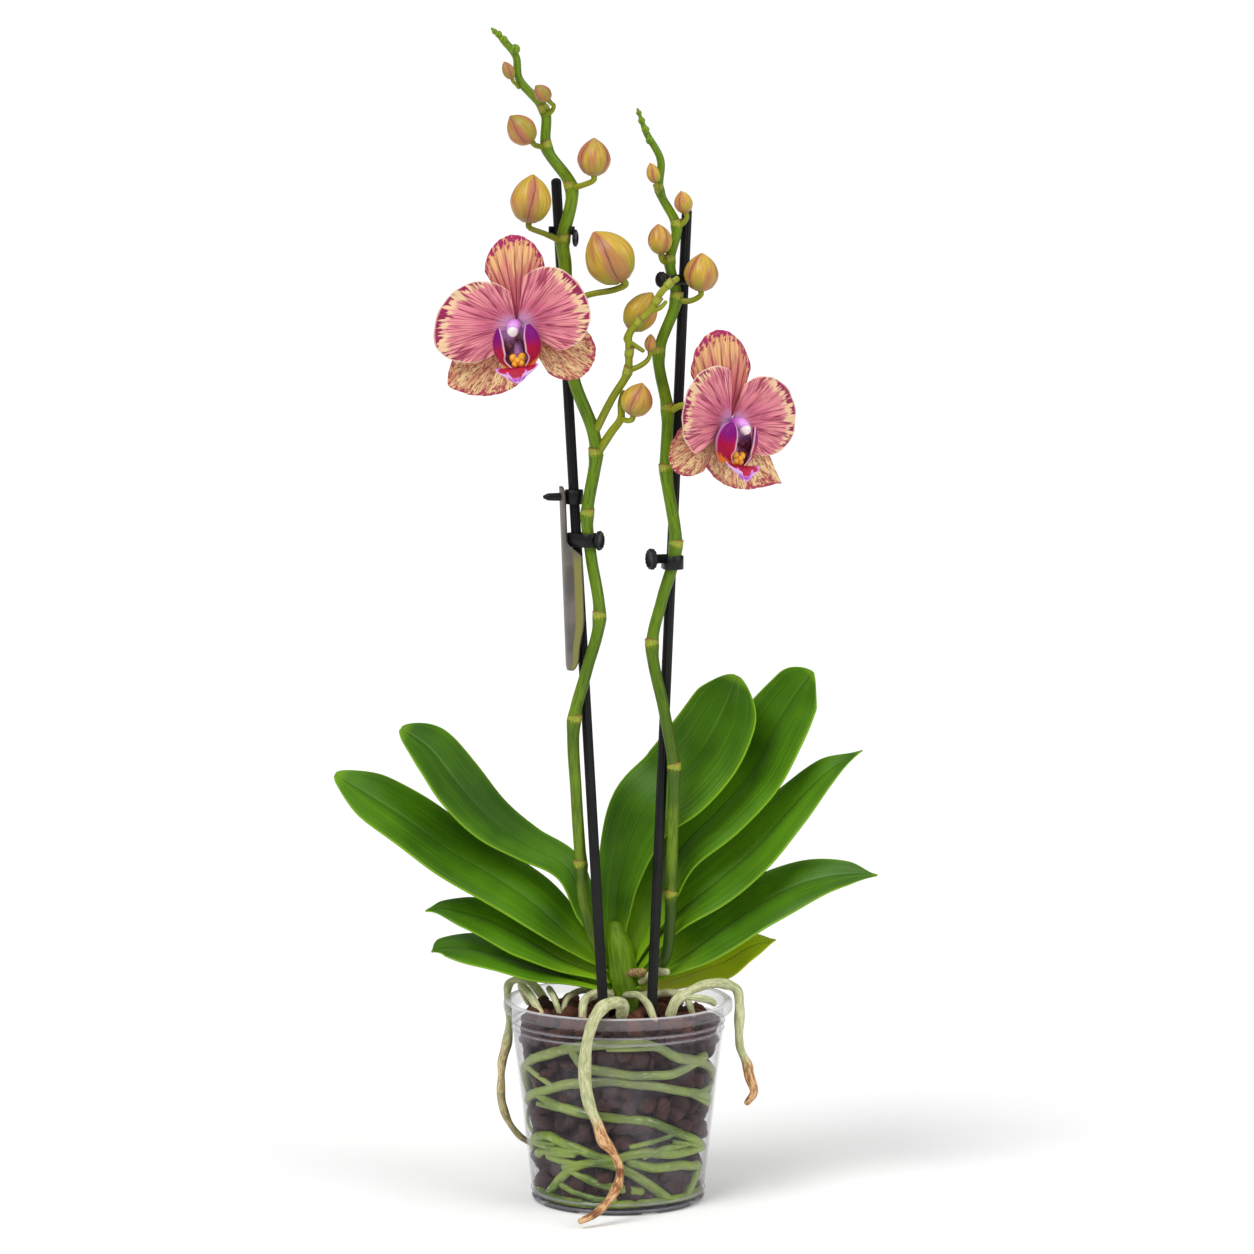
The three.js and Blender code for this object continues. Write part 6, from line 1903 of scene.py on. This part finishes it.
def rounded_section(inner, outer, half, soft):
    """The cut through a band from one radius to another, with its four edges taken off."""
    top = [(inner, half - soft), (inner + soft, half), (outer - soft, half), (outer, half - soft)]
    return top + [(radius, -height) for radius, height in reversed(top)]


def clip_band(skin, start, way, z, height, is_open):
    """A band with rounded edges round two circles of the same size. An open one is a claw."""
    heading, length = math.atan2(way[1], way[0]), math.hypot(way[0], way[1])
    outline = [(0, a) for a in np.linspace(math.pi / 2, 3 * math.pi / 2, 15)]
    if is_open:
        outline = [(length, a) for a in np.linspace(0.35, math.pi / 2, 9)] + outline
    else:
        outline += [(length, a) for a in np.linspace(-math.pi / 2, math.pi / 2, 15)]
    section = rounded_section(CLIP_INNER_RADIUS, CLIP_OUTER_RADIUS, height / 2, CLIP_SOFTNESS)
    points = np.zeros((len(outline), len(section), 3))
    for i, (shift, a) in enumerate(outline):
        for j, (radius, rise) in enumerate(section):
            x, y = shift + radius * math.cos(a), radius * math.sin(a)
            points[i, j] = (start[0] + x * math.cos(heading) - y * math.sin(heading),
                            start[1] + x * math.sin(heading) + y * math.cos(heading), z + rise)
    if is_open:
        skin.grid(points, np.zeros(3), ring=True, caps=True)
    else:
        skin.grid(np.concatenate([points, points[:1]]), np.zeros(3), ring=True)


def ribbed(turns, radius):
    """Fine ribs round the button, for the fingers."""
    return 0.05 * np.cos(turns * 14) if radius > 3.5 else 0 * turns


def clip(name, form):
    on_left = name.startswith("left")
    stake, chain = STAKES["left" if on_left else "right"], SPIKE_LEFT if on_left else SPIKE_RIGHT
    on_stake, on_stem = stake_at(stake, form["z"]), point_on_spike(chain, form["z"])
    skin = Skin()
    clip_band(skin, on_stake, on_stem - on_stake, form["z"], form["height"], form["open"])
    heart = on_stem + np.array([0, 0, form["raise"]])
    neck, reach, disc = form["neck"], form["reach"], form["disc"] / 2
    profile = [(0.01, BUTTON_START), (BUTTON_NECK, BUTTON_START), (BUTTON_NECK, neck),
               (disc - 0.5, neck), (disc, neck + 0.5), (disc, reach - 0.5), (disc - 0.5, reach),
               (disc - 1.4, reach), (disc - 1.7, reach - 0.4), (0.01, reach - 0.4)]
    turned(skin, profile, heart, form["facing"], 56, ribs=ribbed)
    make(f"stem_clip_{name}", skin, [black_plastic], [f"clip_{name}"], "black_plastic")


for name, form in CLIPS.items():
    clip(name, form)
print("clips:", len(CLIPS))

# %% [markdown]
# The tag hangs from a peg on a collar round the left stake. It is one thin sheet with a soft bend
# round the stake, narrower near its top and rounded at both ends, and nothing stands on it.

# %% The label's peg
LABEL_CLIP_HEIGHT = 368
COLLAR_OUTER_RADIUS, COLLAR_HALF_HEIGHT, COLLAR_SOFTNESS = 4.7, 3.75, 0.2
peg_foot = stake_at(STAKES["left"], LABEL_CLIP_HEIGHT)
PEG = [(*(peg_foot + [-4, 0, 0]), 2.1), (*(peg_foot + [-9, -0.5, 0]), 2.1),
       (*(peg_foot + [-13.5, -1, 0]), 1.9), (*(peg_foot + [-15.2, -1.1, 0]), 1.1)]


def collar(skin):
    section = rounded_section(STAKE_RADIUS + 0.9, COLLAR_OUTER_RADIUS, COLLAR_HALF_HEIGHT,
                              COLLAR_SOFTNESS)
    points = np.array([[peg_foot + polar(radius, turn, rise) for turn in turns_round(40)]
                       for radius, rise in section + section[:1]])
    skin.grid(points[::-1], np.zeros(3), ring=True)


skin = Skin()
collar(skin)
tube(skin, PEG, 20, 4)
make("label_peg", skin, [black_plastic], ["label_clip"], "black_plastic")
print("label peg at", peg_foot.round(1))

# %% Label
LABEL_RADIUS, LABEL_THICKNESS = 11, 0.8
LABEL_TOP, LABEL_BOTTOM = 373.5, 279
LABEL_START = 178  # where its left edge hangs, in degrees round the stake from +X


def label_point(share_down, share):
    z = lerp(LABEL_TOP, LABEL_BOTTOM, share_down)
    sx, sy, _ = stake_at(STAKES["left"], z)
    round_top = math.sqrt(1 - (1 - min((LABEL_TOP - z + 0.6) / 6, 1)) ** 2)
    round_foot = math.sqrt(1 - (1 - min((z - LABEL_BOTTOM + 0.6) / 9, 1)) ** 2)
    neck = lerp(222, 266, smooth(LABEL_TOP - z, 28, 36))
    end = lerp(neck, 248, smooth(LABEL_TOP - z, 66, 88))
    heading = (LABEL_START + end) / 2
    half_turn = (end - LABEL_START) / 2 * min(round_top, round_foot)
    centre = sx + lerp(2, 3.8, (z - LABEL_BOTTOM) / (LABEL_TOP - LABEL_BOTTOM))
    across = 2 * share - 1
    turn = (heading + half_turn * across) * DEG
    x, y = centre + LABEL_RADIUS * math.cos(turn), sy + 2.6 + LABEL_RADIUS * math.sin(turn)
    return (x, y, z), (share_down, across, 1)


skin = Skin()
skin.sheet(67, 17, label_point, LABEL_THICKNESS)
make("blank_label", skin, [label_finish()], ["label"], "label")
print("label:", LABEL_TOP - LABEL_BOTTOM, "mm long, bare")

# %% [markdown]
# ## Floor and light
#
# The plant stands on plain white, lit from both sides and from above by large soft lamps. The white
# ground runs out into a white sky, and only a soft shadow at the foot of the pot shows where it
# stands. Hard lamps would draw sharp shadows of the stakes on the leaves.

# %% Floor
FLOOR_SIZE, FLOOR_DROP = 60.0, 0.0004  # in metres; the drop keeps it clear of the pot's foot
FLOOR_GLOW = 0.08  # the paper is so white that it seems to shine a little


def floor_finish():
    f = Finish("white paper", Roughness=0.9, Specular_IOR_Level=0.0,
               Emission_Color=(1, 1, 1, 1), Emission_Strength=FLOOR_GLOW)
    paper = f.cloud(8.0)
    return f.done(f.mix(paper, "f2f2f2", "f6f6f6"))


mesh = bpy.data.meshes.new("floor")
reach = FLOOR_SIZE / 2
corners = [(-reach, -reach, 0), (reach, -reach, 0), (reach, reach, 0), (-reach, reach, 0)]
mesh.from_pydata(corners, [], [(0, 1, 2, 3)])
mesh.materials.append(floor_finish())
floor = bpy.data.objects.new("floor", mesh)
floor.location.z = -FLOOR_DROP
bpy.context.collection.objects.link(floor)
print("floor:", FLOOR_SIZE, "m wide")

# %% The white sky
SKY_LIGHT, SKY_SEEN = 0.26, 1.02  # what the sky lends the plant, and how white it looks itself
scene = bpy.context.scene
scene.view_settings.view_transform = "Standard"
world = bpy.data.worlds.new("white sky")
world.use_nodes = True
seen = world.node_tree.nodes.new("ShaderNodeLightPath").outputs["Is Camera Ray"]
level = world.node_tree.nodes.new("ShaderNodeMapRange")
level.inputs["To Min"].default_value = SKY_LIGHT
level.inputs["To Max"].default_value = SKY_SEEN
world.node_tree.links.new(seen, level.inputs["Value"])
backdrop = world.node_tree.nodes["Background"]
backdrop.inputs["Color"].default_value = (1, 1, 1, 1)
world.node_tree.links.new(level.outputs["Result"], backdrop.inputs["Strength"])
scene.world = world
print("the sky lends", SKY_LIGHT, "of its light")

# %% Lamps
def soft_sun(name, place, spread, power):
    """A lamp so far away that the whole floor gets the same light, as wide as spread degrees."""
    data = bpy.data.lights.new(name, "SUN")
    data.angle, data.energy = spread * DEG, power
    light = bpy.data.objects.new(name, data)
    x, y, z = place
    light.location = place
    light.rotation_euler = (math.acos(z / math.hypot(x, y, z)), 0, math.atan2(-y, -x) - math.pi / 2)
    bpy.context.collection.objects.link(light)


soft_sun("key", (-1.0, -1.3, 1.9), 32, 2.0)
soft_sun("fill", (1.5, -0.9, 1.1), 40, 1.15)
soft_sun("top", (0.1, 0.3, 2.0), 50, 0.6)
print("lamps: key, fill and top")

# %% [markdown]
